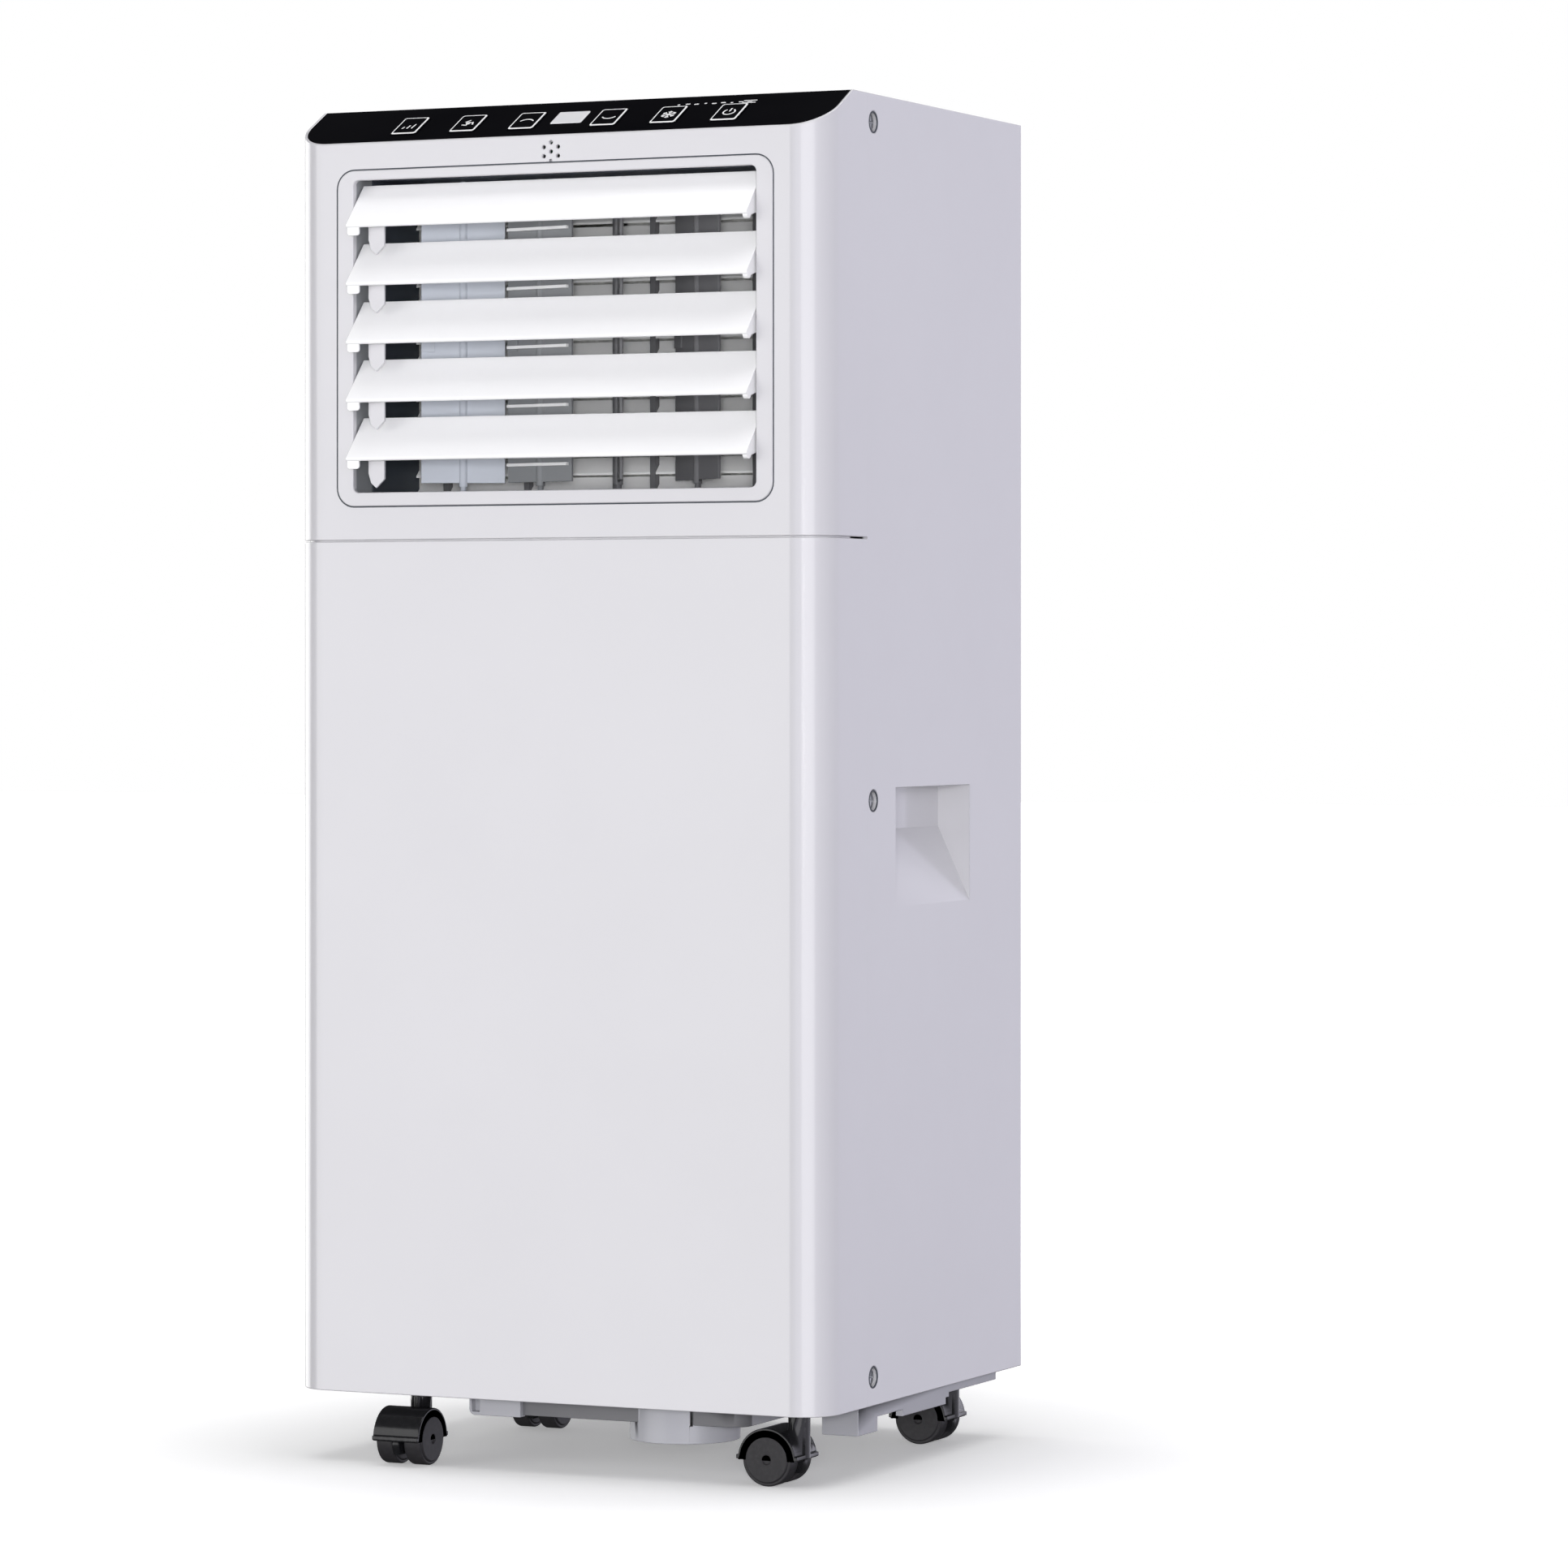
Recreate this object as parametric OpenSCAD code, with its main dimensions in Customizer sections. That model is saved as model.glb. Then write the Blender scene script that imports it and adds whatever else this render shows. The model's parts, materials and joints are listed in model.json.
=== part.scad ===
// Portable air conditioner: slim white cabinet on four swivel casters, sloped black
// control panel, swinging outlet louvers, rear filter grilles and round exhaust collar.
// Millimetres, +Z up, X to the right seen from the front, front face towards -Y.
// The floor is Z = 0 and the origin is under the middle of the bounding box.

/* [Body] */
// Cabinet width across the side panels
body_w = 300; // [260:1:340]
// Cabinet depth, front face to rear edge of the side panels
body_d = 250; // [220:1:290]
// Height of the cabinet underside above the floor
base_z = 36; // [34:0.5:45]
// Height of the flat top above the floor
top_z = 691; // [640:1:760]
// Radius of the two front vertical corners
corner_r = 20; // [8:0.5:30]
// Plastic wall thickness
wall = 2.5; // [2:0.1:4]
// Distance of the front face in front of the origin
front_off = 120; // [100:1:140]
// Height of the seam between the two front panels
seam_z = 469; // [400:1:520]
// Width of that seam
seam_gap = 0.8; // [0.4:0.1:1.5]
// How far the front panels wrap round the sides
wrap_d = 52; // [30:1:80]
// How far the rear panel sits inside the side panels
rear_inset = 4; // [2:0.5:8]

/* [Control panel] */
// Depth of the sloped panel, front to back
slope_d = 35; // [25:1:60]
// Rise of the sloped panel
slope_h = 20; // [12:1:40]
// Thickness of the black cover plate
plate_t = 2.5; // [1.5:0.1:4]
// White rim left round the cover plate
plate_rim = 1.5; // [0.8:0.1:3]
// Key width
key_w = 15; // [10:0.5:20]
// Key length up the slope
key_l = 20; // [10:0.5:24]
// Key spacing within a group of three
key_pitch = 33.5; // [22:0.5:40]
// Distance from the middle to the nearest key
key_first = 23; // [16:0.5:30]
// Key travel
key_travel = 0.7; // [0.4:0.1:1.5]

/* [Outlet] */
// Outlet bezel outer width
bezel_w = 244.8; // [200:0.2:280]
// Bottom of the bezel
bezel_z0 = 486.5; // [480:0.5:500]
// Top of the bezel
bezel_z1 = 657.3; // [620:0.1:680]
// Bezel corner radius
bezel_r = 9.5; // [4:0.5:20]
// Half width of the clear opening
open_hw = 113.2; // [90:0.1:130]
// Number of horizontal louvers
louver_n = 5; // [3:1:6]
// Louver spacing
louver_pitch = 29.6; // [20:0.1:40]
// Louver chord
louver_c = 29.4; // [18:0.1:38]
// Louver thickness
louver_t = 2.2; // [1.6:0.1:3]
// Louver tilt from vertical at rest
louver_a = 41.8; // [20:0.1:60]
// Louver pivot height of the top blade
pivot_z = 636.6; // [600:0.1:670]
// Louver pivot distance behind the front face
pivot_in = 8.3; // [4:0.1:20]
// Louver pivot pin radius
pivot_r = 2; // [1.5:0.1:3]
// Vertical vane spacing
vane_pitch = 44.5; // [30:0.5:50]
// Vertical vane chord
vane_c = 43; // [20:0.5:48]
// Distance of the vane pivots behind the front face
vane_in = 42; // [35:0.5:60]
// Number of pinholes in the ring of the receiver window
ring_holes = 6; // [4:1:12]

/* [Fans] */
// Blower wheel outer radius
blower_r = 82; // [60:1:90]
// Blower wheel width
blower_w = 48; // [30:1:60]
// Blades per blower wheel
blower_n = 30; // [20:1:48]
// Motor shaft radius
shaft_r = 4; // [3:0.5:6]

/* [Exhaust] */
// Inner radius of the round exhaust collar
exhaust_r = 62; // [50:0.5:75]
// Exhaust centre, sideways
exhaust_x = -50; // [-70:1:70]
// Exhaust centre height
exhaust_z = 320; // [300:1:360]

/* [Casters] */
// Caster wheel radius
wheel_r = 13.2; // [10:0.1:20]
// Caster trail from the swivel axis to the axle
trail = 12; // [8:0.5:18]
// Overall caster width
caster_w = 27; // [20:0.5:34]
// Swivel pin radius
stem_r = 4; // [3:0.1:6]

/* [Hidden] */
hw = body_w / 2;
fy = -front_off;
ry = fy + body_d;
rear_y = ry - rear_inset;
wrap_y = fy + wrap_d;
slope_a = atan(slope_h / slope_d);
slope_l = sqrt(slope_h * slope_h + slope_d * slope_d);
slope_z0 = top_z - slope_h;
slope_y1 = fy + slope_d;
run_fit = 0.06;
hole_r = 0.95;
gap = 0.35;
key_v = -1.8;
pivot_y = fy + pivot_in;
vane_y = fy + vane_in;
open_z0 = 493.6;
open_z1 = 652.2;
duct_z0 = 489.5;
duct_z1 = 655.3;
screw_y = wrap_y + 7.5;
screw_z = [50.3, 338, 676.8];
deck_z = base_z + 1;
tray_z = 392;
evap_x = 10;
evap_z = 520;
cond_x = -15;
cond_z = 168;
wheel_y0 = 24;
scroll_grow = 20;
throat_w = 92;
comp_x = 50;
comp_y = -66;
upper_gr = [431, 641];
lower_gr = [67, 243];
grille_hw = 117.6;
vane_rest = [25, -14, -60, -34];
caster_at = [[-86, -98, 90], [127, -99, 0], [-92, 60, 90], [130, 80, 0]];
drain_x = -90;
drain_z = 56;
gland_x = 112;
crank_y = 0.6;
crank_z = 13.2;
crank_r = 1.2;
slinger_x = 104;
slinger_z = 66;
gland_z = 330;
slat_n = 16;
slat_z0 = 492.9;
slat_pitch = 9.87;
slat_rise = 8.2;
slat_t = 1.2;
guard_posts = [-95, -48, 2.9, 24.2, 82];
well_x = 50;
well_y = -70;
well_z = 16;

c_white = [0.93, 0.93, 0.95];
c_shade = [0.80, 0.81, 0.84];
c_grey = [0.60, 0.62, 0.66];
c_dark = [0.22, 0.23, 0.25];
c_black = [0.03, 0.03, 0.035];
c_steel = [0.72, 0.73, 0.75];
c_alu = [0.80, 0.82, 0.84];
c_copper = [0.78, 0.46, 0.30];
c_board = [0.10, 0.32, 0.18];
c_foam = [0.90, 0.90, 0.88];

$fn = 64;

// ---------- shared shapes ----------

// Rectangle with rounded corners, centred.
module rrect(w, h, r) {
  square([w, h - 2 * r], center = true);
  square([w - 2 * r, h], center = true);
  for (sx = [-1, 1], sy = [-1, 1])
    translate([sx * (w / 2 - r), sy * (h / 2 - r)]) circle(r);
}

// Plan outline of the cabinet, inset by i, with round front corners.
module plan(i = 0) {
  translate([-hw + i, fy + corner_r]) square([2 * (hw - i), body_d - corner_r - i]);
  translate([-hw + corner_r, fy + i]) square([2 * (hw - corner_r), corner_r]);
  for (s = [-1, 1]) translate([s * (hw - corner_r), fy + corner_r]) circle(corner_r - i);
}

// Profile in Y-Z pulled along X.
module pull_x(x0, x1) {
  translate([x0, 0, 0]) rotate([90, 0, 90]) linear_extrude(x1 - x0) children();
}

// Profile in X-Z pulled along Y.
module pull_y(y0, y1) {
  translate([0, y1, 0]) rotate([90, 0, 0]) linear_extrude(y1 - y0) children();
}

// Box from its low corner to its high corner.
module box(a, b) {
  translate(a) cube([b[0] - a[0], b[1] - a[1], b[2] - a[2]]);
}

module xcyl(r, x0, x1, y, z) {
  translate([x0, y, z]) rotate([0, 90, 0]) cylinder(r = r, h = x1 - x0);
}

module ycyl(r, y0, y1, x, z) {
  translate([x, y0, z]) rotate([-90, 0, 0]) cylinder(r = r, h = y1 - y0);
}

// Frame of the slope: x across, y up the slope, z out of the panel.
module on_slope() {
  translate([0, fy + slope_d / 2, slope_z0 + slope_h / 2]) rotate([slope_a, 0, 0]) children();
}

// Slab parallel to the slope between two heights along its normal.
module slope_slab(n0, n1) {
  on_slope() translate([-hw, -slope_l, n0]) cube([body_w, 2 * slope_l, n1 - n0]);
}

function key_x(i) = 1 + (i < 3 ? -(key_first + key_pitch * (2 - i)) : key_first + key_pitch * (i - 3));
function louver_z(i) = pivot_z - louver_pitch * i;
function vane_x(i) = -72.5 + vane_pitch * i;

// ---------- cabinet ----------

// Side profile of the front shell: wrapped part with the slope cut off.
module front_profile(z0) {
  polygon([[fy - 1, z0], [wrap_y, z0], [wrap_y, top_z], [slope_y1, top_z],
    [fy, slope_z0], [fy - 1, slope_z0 - slope_h / slope_d]]);
}

// Screw tab behind the side panel, with its boss hole.
module shell_tabs(zs) {
  for (s = [-1, 1], z = zs)
    difference() {
      union() {
        box([s > 0 ? hw - wall - 2 : -hw + wall, wrap_y - 14, z - 6],
          [s > 0 ? hw - wall : -hw + wall + 2, wrap_y - 0.5, z + 6]);
        box([s > 0 ? hw - 8.6 : -hw + 6.2, wrap_y - 14, z - 6],
          [s > 0 ? hw - 6.2 : -hw + 8.6, screw_y + 7, z + 6]);
        box([s > 0 ? hw - 8.6 : -hw + wall, wrap_y - 14, z - 6],
          [s > 0 ? hw - wall : -hw + 8.6, wrap_y - 11.5, z + 6]);
      }
      xcyl(2.1, s > 0 ? hw - 9 : -hw + 5.8, s > 0 ? hw - 5.8 : -hw + 9, screw_y, z);
    }
}

module front_panel_upper() {
  color(c_white) {
    difference() {
      intersection() {
        translate([0, 0, seam_z + seam_gap / 2]) linear_extrude(top_z) plan(0);
        pull_x(-hw - 1, hw + 1) front_profile(seam_z + seam_gap / 2);
      }
      difference() {
        translate([0, 0, seam_z]) linear_extrude(top_z) plan(wall);
        slope_slab(-plate_t - 2, -plate_t);
        // ledge between the slope and the top cover
        box([-hw, slope_y1, top_z - wall], [hw, wrap_y, top_z + 1]);
      }
      // seat of the black cover plate
      intersection() {
        translate([0, 0, seam_z]) linear_extrude(top_z) plan(plate_rim);
        slope_slab(-plate_t, 30);
        pull_x(-hw, hw) polygon([[fy - 1, seam_z], [slope_y1, seam_z], [slope_y1, top_z + 9], [fy - 1, top_z + 9]]);
      }
      // outlet cut-out
      pull_y(fy - 1, fy + wall + 1) translate([0, (bezel_z0 + bezel_z1) / 2])
        rrect(bezel_w + 2 * gap, bezel_z1 - bezel_z0 + 2 * gap, bezel_r + gap);
      // key and display openings in the sloped deck
      on_slope() {
        for (i = [0:5]) translate([key_x(i), key_v, -plate_t - 3])
          linear_extrude(6) rrect(key_w + 5, key_l + 5, 2.5);
        translate([1, 1.2, -plate_t - 3]) linear_extrude(6) rrect(20, 16, 1.5);
      }
      // receiver pinholes
      ycyl(hole_r, fy - 1, fy + wall + 1, -0.5, 663);
      for (i = [0:ring_holes - 1])
        ycyl(hole_r, fy - 1, fy + wall + 1, -0.5 + 4.6 * sin(i * 360 / ring_holes),
          663 + 4.6 * cos(i * 360 / ring_holes));
    }
    // tongue behind the seam
    intersection() {
      difference() {
        translate([0, 0, seam_z - 6]) linear_extrude(6 + seam_gap / 2 + 8) plan(wall);
        translate([0, 0, seam_z - 7]) linear_extrude(30) plan(wall + 1.6);
      }
      box([-hw, fy - 1, seam_z - 7], [hw, wrap_y - 15, seam_z + 20]);
    }
    shell_tabs([screw_z[2]]);
  }
}

module front_panel_lower() {
  color(c_white) {
    difference() {
      translate([0, 0, base_z]) linear_extrude(seam_z - seam_gap / 2 - base_z) plan(0);
      translate([0, 0, base_z - 1]) linear_extrude(seam_z) plan(wall);
      box([-hw - 1, wrap_y, base_z - 1], [hw + 1, ry + 1, seam_z + 1]);
    }
    shell_tabs([screw_z[0], screw_z[1]]);
    // stiffening ribs on the inside of the big flat face
    for (z = [120:80:440])
      box([-hw + corner_r, fy + wall - 0.1, z], [hw - corner_r, fy + wall + 2, z + 2]);
  }
}

// Handle pocket section in X-Z: upright back wall, then a ramp running out below.
module pocket_cavity() {
  polygon([[hw + 1, 344], [hw - 18, 344], [hw - 18, 322.5], [hw, 284], [hw + 1, 281.9]]);
}

module pocket_shell() {
  polygon([[hw - 0.5, 346], [hw - 20, 346], [hw - 20, 322], [hw - wall, 284], [hw - wall, 281], [hw - 0.5, 281]]);
}

module side_panel() {
  difference() {
    union() {
      box([hw - wall, wrap_y + 0.05, base_z], [hw, ry, top_z]);
      pull_y(-35, 63) pocket_shell();
      for (z = screw_z) xcyl(7.5, hw - 6, hw - 1, screw_y, z);
      // flange the rear panel screws to
      box([hw - 12, rear_y - wall - 2, base_z + 6], [hw - wall + 0.1, rear_y - wall, top_z - 6]);
      // vertical stiffener
      box([hw - 6, 84, base_z + 6], [hw - wall + 0.1, 86, tray_z - 6]);
    }
    pull_y(-33, 61) pocket_cavity();
    for (z = screw_z) {
      xcyl(5.5, hw - 4, hw + 1, screw_y, z);
      xcyl(2.1, hw - 8, hw + 1, screw_y, z);
    }
  }
}

module side_panel_right() {
  color(c_white) side_panel();
}

module side_panel_left() {
  color(c_white) mirror([1, 0, 0]) side_panel();
}

module grille_cutout(z0, z1) {
  box([-grille_hw - 0.4, rear_y - 6, z0 - 2], [grille_hw + 0.4, rear_y + 1, z1 + 0.4]);
}

// Ear that carries a grille hinge pin.
module grille_ears(z) {
  for (s = [-1, 1])
    difference() {
      box([s > 0 ? grille_hw + 0.4 : -grille_hw - 3.6, rear_y - 5, z - 2],
        [s > 0 ? grille_hw + 3.6 : -grille_hw - 0.4, rear_y, z + 7]);
      xcyl(1.5 + run_fit, -hw, hw, rear_y - 2.2, z + 2.5);
    }
}

module rear_panel() {
  color(c_white) {
    difference() {
      box([-hw + wall + 0.05, rear_y - wall, base_z + 0.05], [hw - wall - 0.05, rear_y, top_z - wall - 0.2]);
      grille_cutout(upper_gr[0], upper_gr[1]);
      grille_cutout(lower_gr[0], lower_gr[1]);
      ycyl(exhaust_r + 5.2, rear_y - 5, rear_y + 1, exhaust_x, exhaust_z);
      ycyl(9, rear_y - 5, rear_y + 1, gland_x, gland_z);
      ycyl(9, rear_y - 5, rear_y + 1, drain_x, drain_z - 3);
      for (z = [upper_gr[0], lower_gr[0]])
        xcyl(1.5 + run_fit, -grille_hw - 4.2, grille_hw + 4.2, rear_y - 2.2, z + 2.5);
      // small vent slots for the control box
      for (i = [0:5])
        box([60 + i * 9, rear_y - 5, 280], [64 + i * 9, rear_y + 1, 306]);
    }
    grille_ears(upper_gr[0]);
    grille_ears(lower_gr[0]);
  }
}

module top_cover() {
  color(c_white) difference() {
    box([-hw + wall + 0.05, wrap_y + 0.3, top_z - wall], [hw - wall - 0.05, ry - 0.5, top_z]);
    // shallow moulded field
    translate([0, (wrap_y + ry) / 2, top_z - 0.8]) linear_extrude(2)
      rrect(body_w - 36, body_d - wrap_d - 32, 12);
  }
}

// ---------- control panel ----------

module control_panel() {
  color(c_black) difference() {
    intersection() {
      translate([0, 0, seam_z]) linear_extrude(top_z) plan(plate_rim + 0.05);
      slope_slab(-plate_t + 0.02, 0);
      pull_x(-hw, hw)
        polygon([[fy - 1, seam_z], [slope_y1 - 0.05, seam_z], [slope_y1 - 0.05, top_z + 9], [fy - 1, top_z + 9]]);
    }
    on_slope() {
      for (i = [0:5]) translate([key_x(i), key_v, -plate_t - 1])
        linear_extrude(6) rrect(key_w + 2 * gap, key_l + 2 * gap, 1.5 + gap);
      translate([1, 1.2, -plate_t - 1]) linear_extrude(6) rrect(17.6, 13.8, 1);
    }
  }
}

module display_window() {
  color(c_shade) on_slope() translate([1, 1.2, -plate_t]) linear_extrude(plate_t + 0.1) rrect(17.4, 13.6, 0.9);
}

module display_board() {
  color(c_board) on_slope() {
    translate([-104, -12, -13.5]) cube([210, 24, 1.5]);
    for (i = [0:5]) {
      translate([key_x(i) - 3, key_v - 3, -12.05]) cube([6, 6, 2.2]);
      translate([key_x(i), key_v, -10]) cylinder(r = 1.5, h = 1.1);
    }
    translate([-7, -4.8, -12.05]) cube([16, 12, 7.5]);
    for (x = [-98, -39, 41, 100], v = [-8, 8])
      translate([x - 3.6, v, -12.05]) cylinder(r = 2, h = 12.05 - plate_t - 2);
  }
}

module key(i) {
  on_slope() translate([key_x(i), key_v, 0]) {
    translate([0, 0, -plate_t - 0.2]) linear_extrude(plate_t + 0.2 + 0.5) rrect(key_w, key_l, 1.5);
    translate([0, 0, -plate_t - 1.2]) linear_extrude(1.1) rrect(key_w + 2, key_l + 2, 2);
    translate([0, 0, -8]) cylinder(r = 2, h = 5);
  }
}

module key_timer() { color(c_black) key(0); }
module key_fan_speed() { color(c_black) key(1); }
module key_up() { color(c_black) key(2); }
module key_down() { color(c_black) key(3); }
module key_mode() { color(c_black) key(4); }
module key_power() { color(c_black) key(5); }

// ---------- outlet ----------

module outlet_bezel() {
  color(c_white) difference() {
    union() {
      // flush frame
      pull_y(fy - 0.5, fy + wall + 0.05) translate([0, (bezel_z0 + bezel_z1) / 2])
        rrect(bezel_w, bezel_z1 - bezel_z0, bezel_r);
      // flange behind the front panel
      pull_y(fy + wall + 0.05, fy + wall + 2) translate([0, (bezel_z0 + bezel_z1) / 2])
        rrect(bezel_w + 6, bezel_z1 - bezel_z0 + 5, bezel_r + 2);
      // sleeve
      box([-open_hw - 3, fy + wall + 1, duct_z0 - 2], [open_hw + 3, fy + 20, duct_z1 + 2]);
    }
    // mouth
    pull_y(fy - 2, fy + wall + 0.6) translate([0, (open_z0 + open_z1) / 2])
      rrect(2 * open_hw, open_z1 - open_z0, 3);
    box([-open_hw, fy + wall + 0.5, duct_z0], [open_hw, fy + 21, duct_z1]);
    for (i = [0:louver_n - 1])
      xcyl(pivot_r + run_fit, -hw, hw, pivot_y, louver_z(i));
  }
}

// Blade of one louver in its own frame: pivot at the origin, closed is upright.
module louver_section() {
  translate([-8.4, -18.1]) {
    translate([0, louver_t / 2]) square([louver_t, louver_c - louver_t]);
    translate([louver_t / 2, louver_t / 2]) circle(louver_t / 2);
    translate([louver_t / 2, louver_c - louver_t / 2]) circle(louver_t / 2);
  }
}

// End web joining blade and pin.
module louver_web() {
  polygon([[-6.8, -17], [-3, -15], [1, -9], [3.2, -2], [3.2, 2.4], [0.5, 3.4], [-6.8, 8]]);
  circle(3.2);
}

module louver(i) {
  translate([0, pivot_y, louver_z(i)]) rotate([-louver_a, 0, 0]) {
    pull_x(-open_hw + 0.7, open_hw - 0.7) louver_section();
    for (s = [-1, 1]) {
      pull_x(s > 0 ? open_hw - 2.5 : -open_hw + 0.7, s > 0 ? open_hw - 0.7 : -open_hw + 2.5) louver_web();
      xcyl(pivot_r, s > 0 ? open_hw - 1 : -open_hw - 2.8, s > 0 ? open_hw + 2.8 : -open_hw + 1, 0, 0);
    }
    // crank lug off the upper edge and its pin for the link
    pull_x(-105.6, -103.4) {
      polygon([[-7.4, 3], [-7.4, 10.4], [-3.6, 13.4], [0.6, 15.1], [2.4, 12.6], [-3.4, 7.6], [-5.6, 3]]);
      translate([crank_y, crank_z]) circle(2.2);
    }
    xcyl(crank_r, -108.2, -104, crank_y, crank_z);
  }
  translate([0, pivot_y, louver_z(i)]) {
    // pointed finger hanging under the blade
    pull_y(-11.2, -9.6)
      polygon([[-103.1, -0.2], [-93.9, -0.2], [-93.9, -18.2], [-98.6, -22.6], [-101.6, -20], [-103.1, -15]]);
    // rounded stop tab under the left end
    pull_y(-16.9, -15.5) translate([-108.8, -9.9]) rrect(6.8, 6, 1.5);
    // round stop knob under the right end
    xcyl(2.4, open_hw - 3.4, open_hw - 0.7, -14.7, -8.6);
  }
}

module louver_1() { color(c_white) louver(0); }
module louver_2() { color(c_white) louver(1); }
module louver_3() { color(c_white) louver(2); }
module louver_4() { color(c_white) louver(3); }
module louver_5() { color(c_white) louver(4); }

link_dy = crank_y * cos(louver_a) + crank_z * sin(louver_a);
link_dz = crank_z * cos(louver_a) - crank_y * sin(louver_a);

module louver_link() {
  color(c_white) difference() {
    box([-108.4, pivot_y + link_dy - 2.2, louver_z(4) + link_dz - 2.8],
      [-105.9, pivot_y + link_dy + 2.2, louver_z(0) + link_dz + 2.8]);
    for (i = [0:louver_n - 1])
      xcyl(crank_r + run_fit, -110, -100, pivot_y + link_dy, louver_z(i) + link_dz);
  }
}

module swing_motor() {
  color(c_dark) {
    xcyl(9, open_hw + 9, open_hw + 23, pivot_y + 7, louver_z(2));
    box([open_hw + 8, pivot_y - 2, louver_z(2) - 18], [open_hw + 10, pivot_y + 14, louver_z(2) + 18]);
    box([open_hw + 3.1, pivot_y + 7, louver_z(2) - 18], [open_hw + 10, pivot_y + 9, louver_z(2) - 12]);
    box([open_hw + 3.1, pivot_y + 7, louver_z(2) + 12], [open_hw + 10, pivot_y + 9, louver_z(2) + 18]);
    xcyl(2.4, open_hw + 3.2, open_hw + 9, pivot_y, louver_z(2));
  }
}

module vane(i) {
  translate([vane_x(i), vane_y, 0]) rotate([0, 0, vane_rest[i]]) {
    // wing plates either side of a thicker spindle
    box([-vane_c / 2, -0.8, 499], [vane_c / 2, 0.8, 646]);
    translate([0, 0, 497]) cylinder(r = 2.2, h = 151);
    translate([0, 0, 490.2]) cylinder(r = 1.5, h = 164.6);
    // finger tab on the leading edge
    box([-vane_c / 2, -1.5, 566], [-vane_c / 2 + 7, 1.5, 580]);
  }
}

module vane_1() { color(c_shade) vane(0); }
module vane_2() { color(c_shade) vane(1); }
module vane_3() { color(c_shade) vane(2); }
module vane_4() { color(c_shade) vane(3); }

module outlet_guard() {
  color(c_white) difference() {
    union() {
      // sleeve round the vanes
      difference() {
        box([-open_hw - 3, fy + 20.05, duct_z0 - 2], [open_hw + 3, fy + 70, duct_z1 + 2]);
        box([-open_hw, fy + 19, duct_z0 + 2], [open_hw, fy + 71, duct_z1 - 2]);
      }
      // rear guard: slanted slats on upright posts
      for (k = [0:slat_n - 1])
        pull_x(-open_hw + gap, open_hw - gap) translate([fy, slat_z0 + k * slat_pitch])
          polygon([[65.6, 0], [74, slat_rise], [74, slat_rise + slat_t], [65.6, slat_t]]);
      for (x = guard_posts)
        box([x - 1.6, fy + 65.2, duct_z0 + 1], [x + 1.6, fy + 69.9, duct_z1 - 1]);
    }
    for (i = [0:3]) translate([vane_x(i), vane_y, duct_z0 - 4]) cylinder(r = 1.5 + run_fit, h = 180);
  }
}

// ---------- fans ----------

// Forward-curved blower wheel on a Y axis, back plate towards -Y.
module blower(x, z) {
  translate([x, wheel_y0, z]) rotate([-90, 0, 0]) difference() {
    union() {
      cylinder(r = blower_r, h = 2);
      translate([0, 0, blower_w - 3]) difference() {
        cylinder(r = blower_r, h = 3);
        translate([0, 0, -1]) cylinder(r = blower_r - 12, h = 5);
      }
      cylinder(r = 13, h = 20);
      cylinder(r = 30, h = 5);
      for (i = [0:blower_n - 1]) rotate([0, 0, i * 360 / blower_n])
        translate([blower_r - 12.5, 0, 1]) rotate([0, 0, 24])
          translate([0, -0.8, 0]) cube([12, 1.6, blower_w - 2]);
    }
    translate([0, 0, -1]) cylinder(r = shaft_r + run_fit, h = 30);
  }
}

module evaporator_fan() { color(c_dark) blower(evap_x, evap_z); }
module condenser_fan() { color(c_dark) blower(cond_x, cond_z); }

// Fan motor in front of the wheel, shaft towards +Y.
module fan_motor(x, z) {
  ycyl(37, -15, 12, x, z);
  ycyl(30, -17.5, 15, x, z);
  ycyl(12, 15, 19, x, z);
  ycyl(shaft_r, 15, 46, x, z);
  ycyl(44, 12.5, 15.45, x, z);
}

module evaporator_motor() { color(c_steel) fan_motor(evap_x, evap_z); }
module condenser_motor() { color(c_steel) fan_motor(cond_x, cond_z); }

// Spiral casing outline: radius grows clockwise from the cut-off, throat rises on the left.
module scroll_outline(r0, throat_h, grow = 0) {
  polygon(concat(
    [for (t = [0:10:280]) let (a = 100 - t, r = r0 + grow + scroll_grow * t / 280) [r * cos(a), r * sin(a)]],
    [[-(r0 + scroll_grow + grow), throat_h + grow], [throat_w - r0 - scroll_grow + grow, throat_h + grow]]));
}

// Casing with its feet, hollowed between two Y planes.
module scroll_case(x, z, r0, throat_h, foot_z) {
  difference() {
    union() {
      translate([x, 0, z]) pull_y(15.5, 80) scroll_outline(r0, throat_h, 2);
      for (s = [-1, 1])
        box([x + s * 56 - 10, 18, foot_z], [x + s * 56 + 10, 76, z - 40]);
    }
    translate([x, 0, z]) pull_y(18, 77.5) scroll_outline(r0, throat_h);
    ycyl(64, 70, 90, x, z);
    ycyl(31, 10, 20, x, z);
  }
}

module evaporator_scroll() {
  color(c_foam) {
    difference() {
      scroll_case(evap_x, evap_z, 86, 130, tray_z + 4.05);
      // window forward into the plenum
      box([evap_x - 104, 14, 612], [evap_x - 16, 19, 648]);
    }
    // plenum behind the outlet guard
    difference() {
      box([-open_hw - 3, fy + 70.05, duct_z0 - 2], [open_hw + 3, -20, duct_z1 + 2]);
      box([-open_hw, fy + 69, duct_z0 + 1], [open_hw, -22.5, duct_z1 - 1]);
      box([evap_x - 104, -30, 612], [evap_x - 16, -10, 648]);
    }
    // bridge duct from the casing throat to the plenum
    difference() {
      box([evap_x - 108, -20.1, 608], [evap_x - 12, 15.6, 652]);
      box([evap_x - 104, -21, 612], [evap_x - 16, 17, 648]);
    }
  }
}

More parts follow.
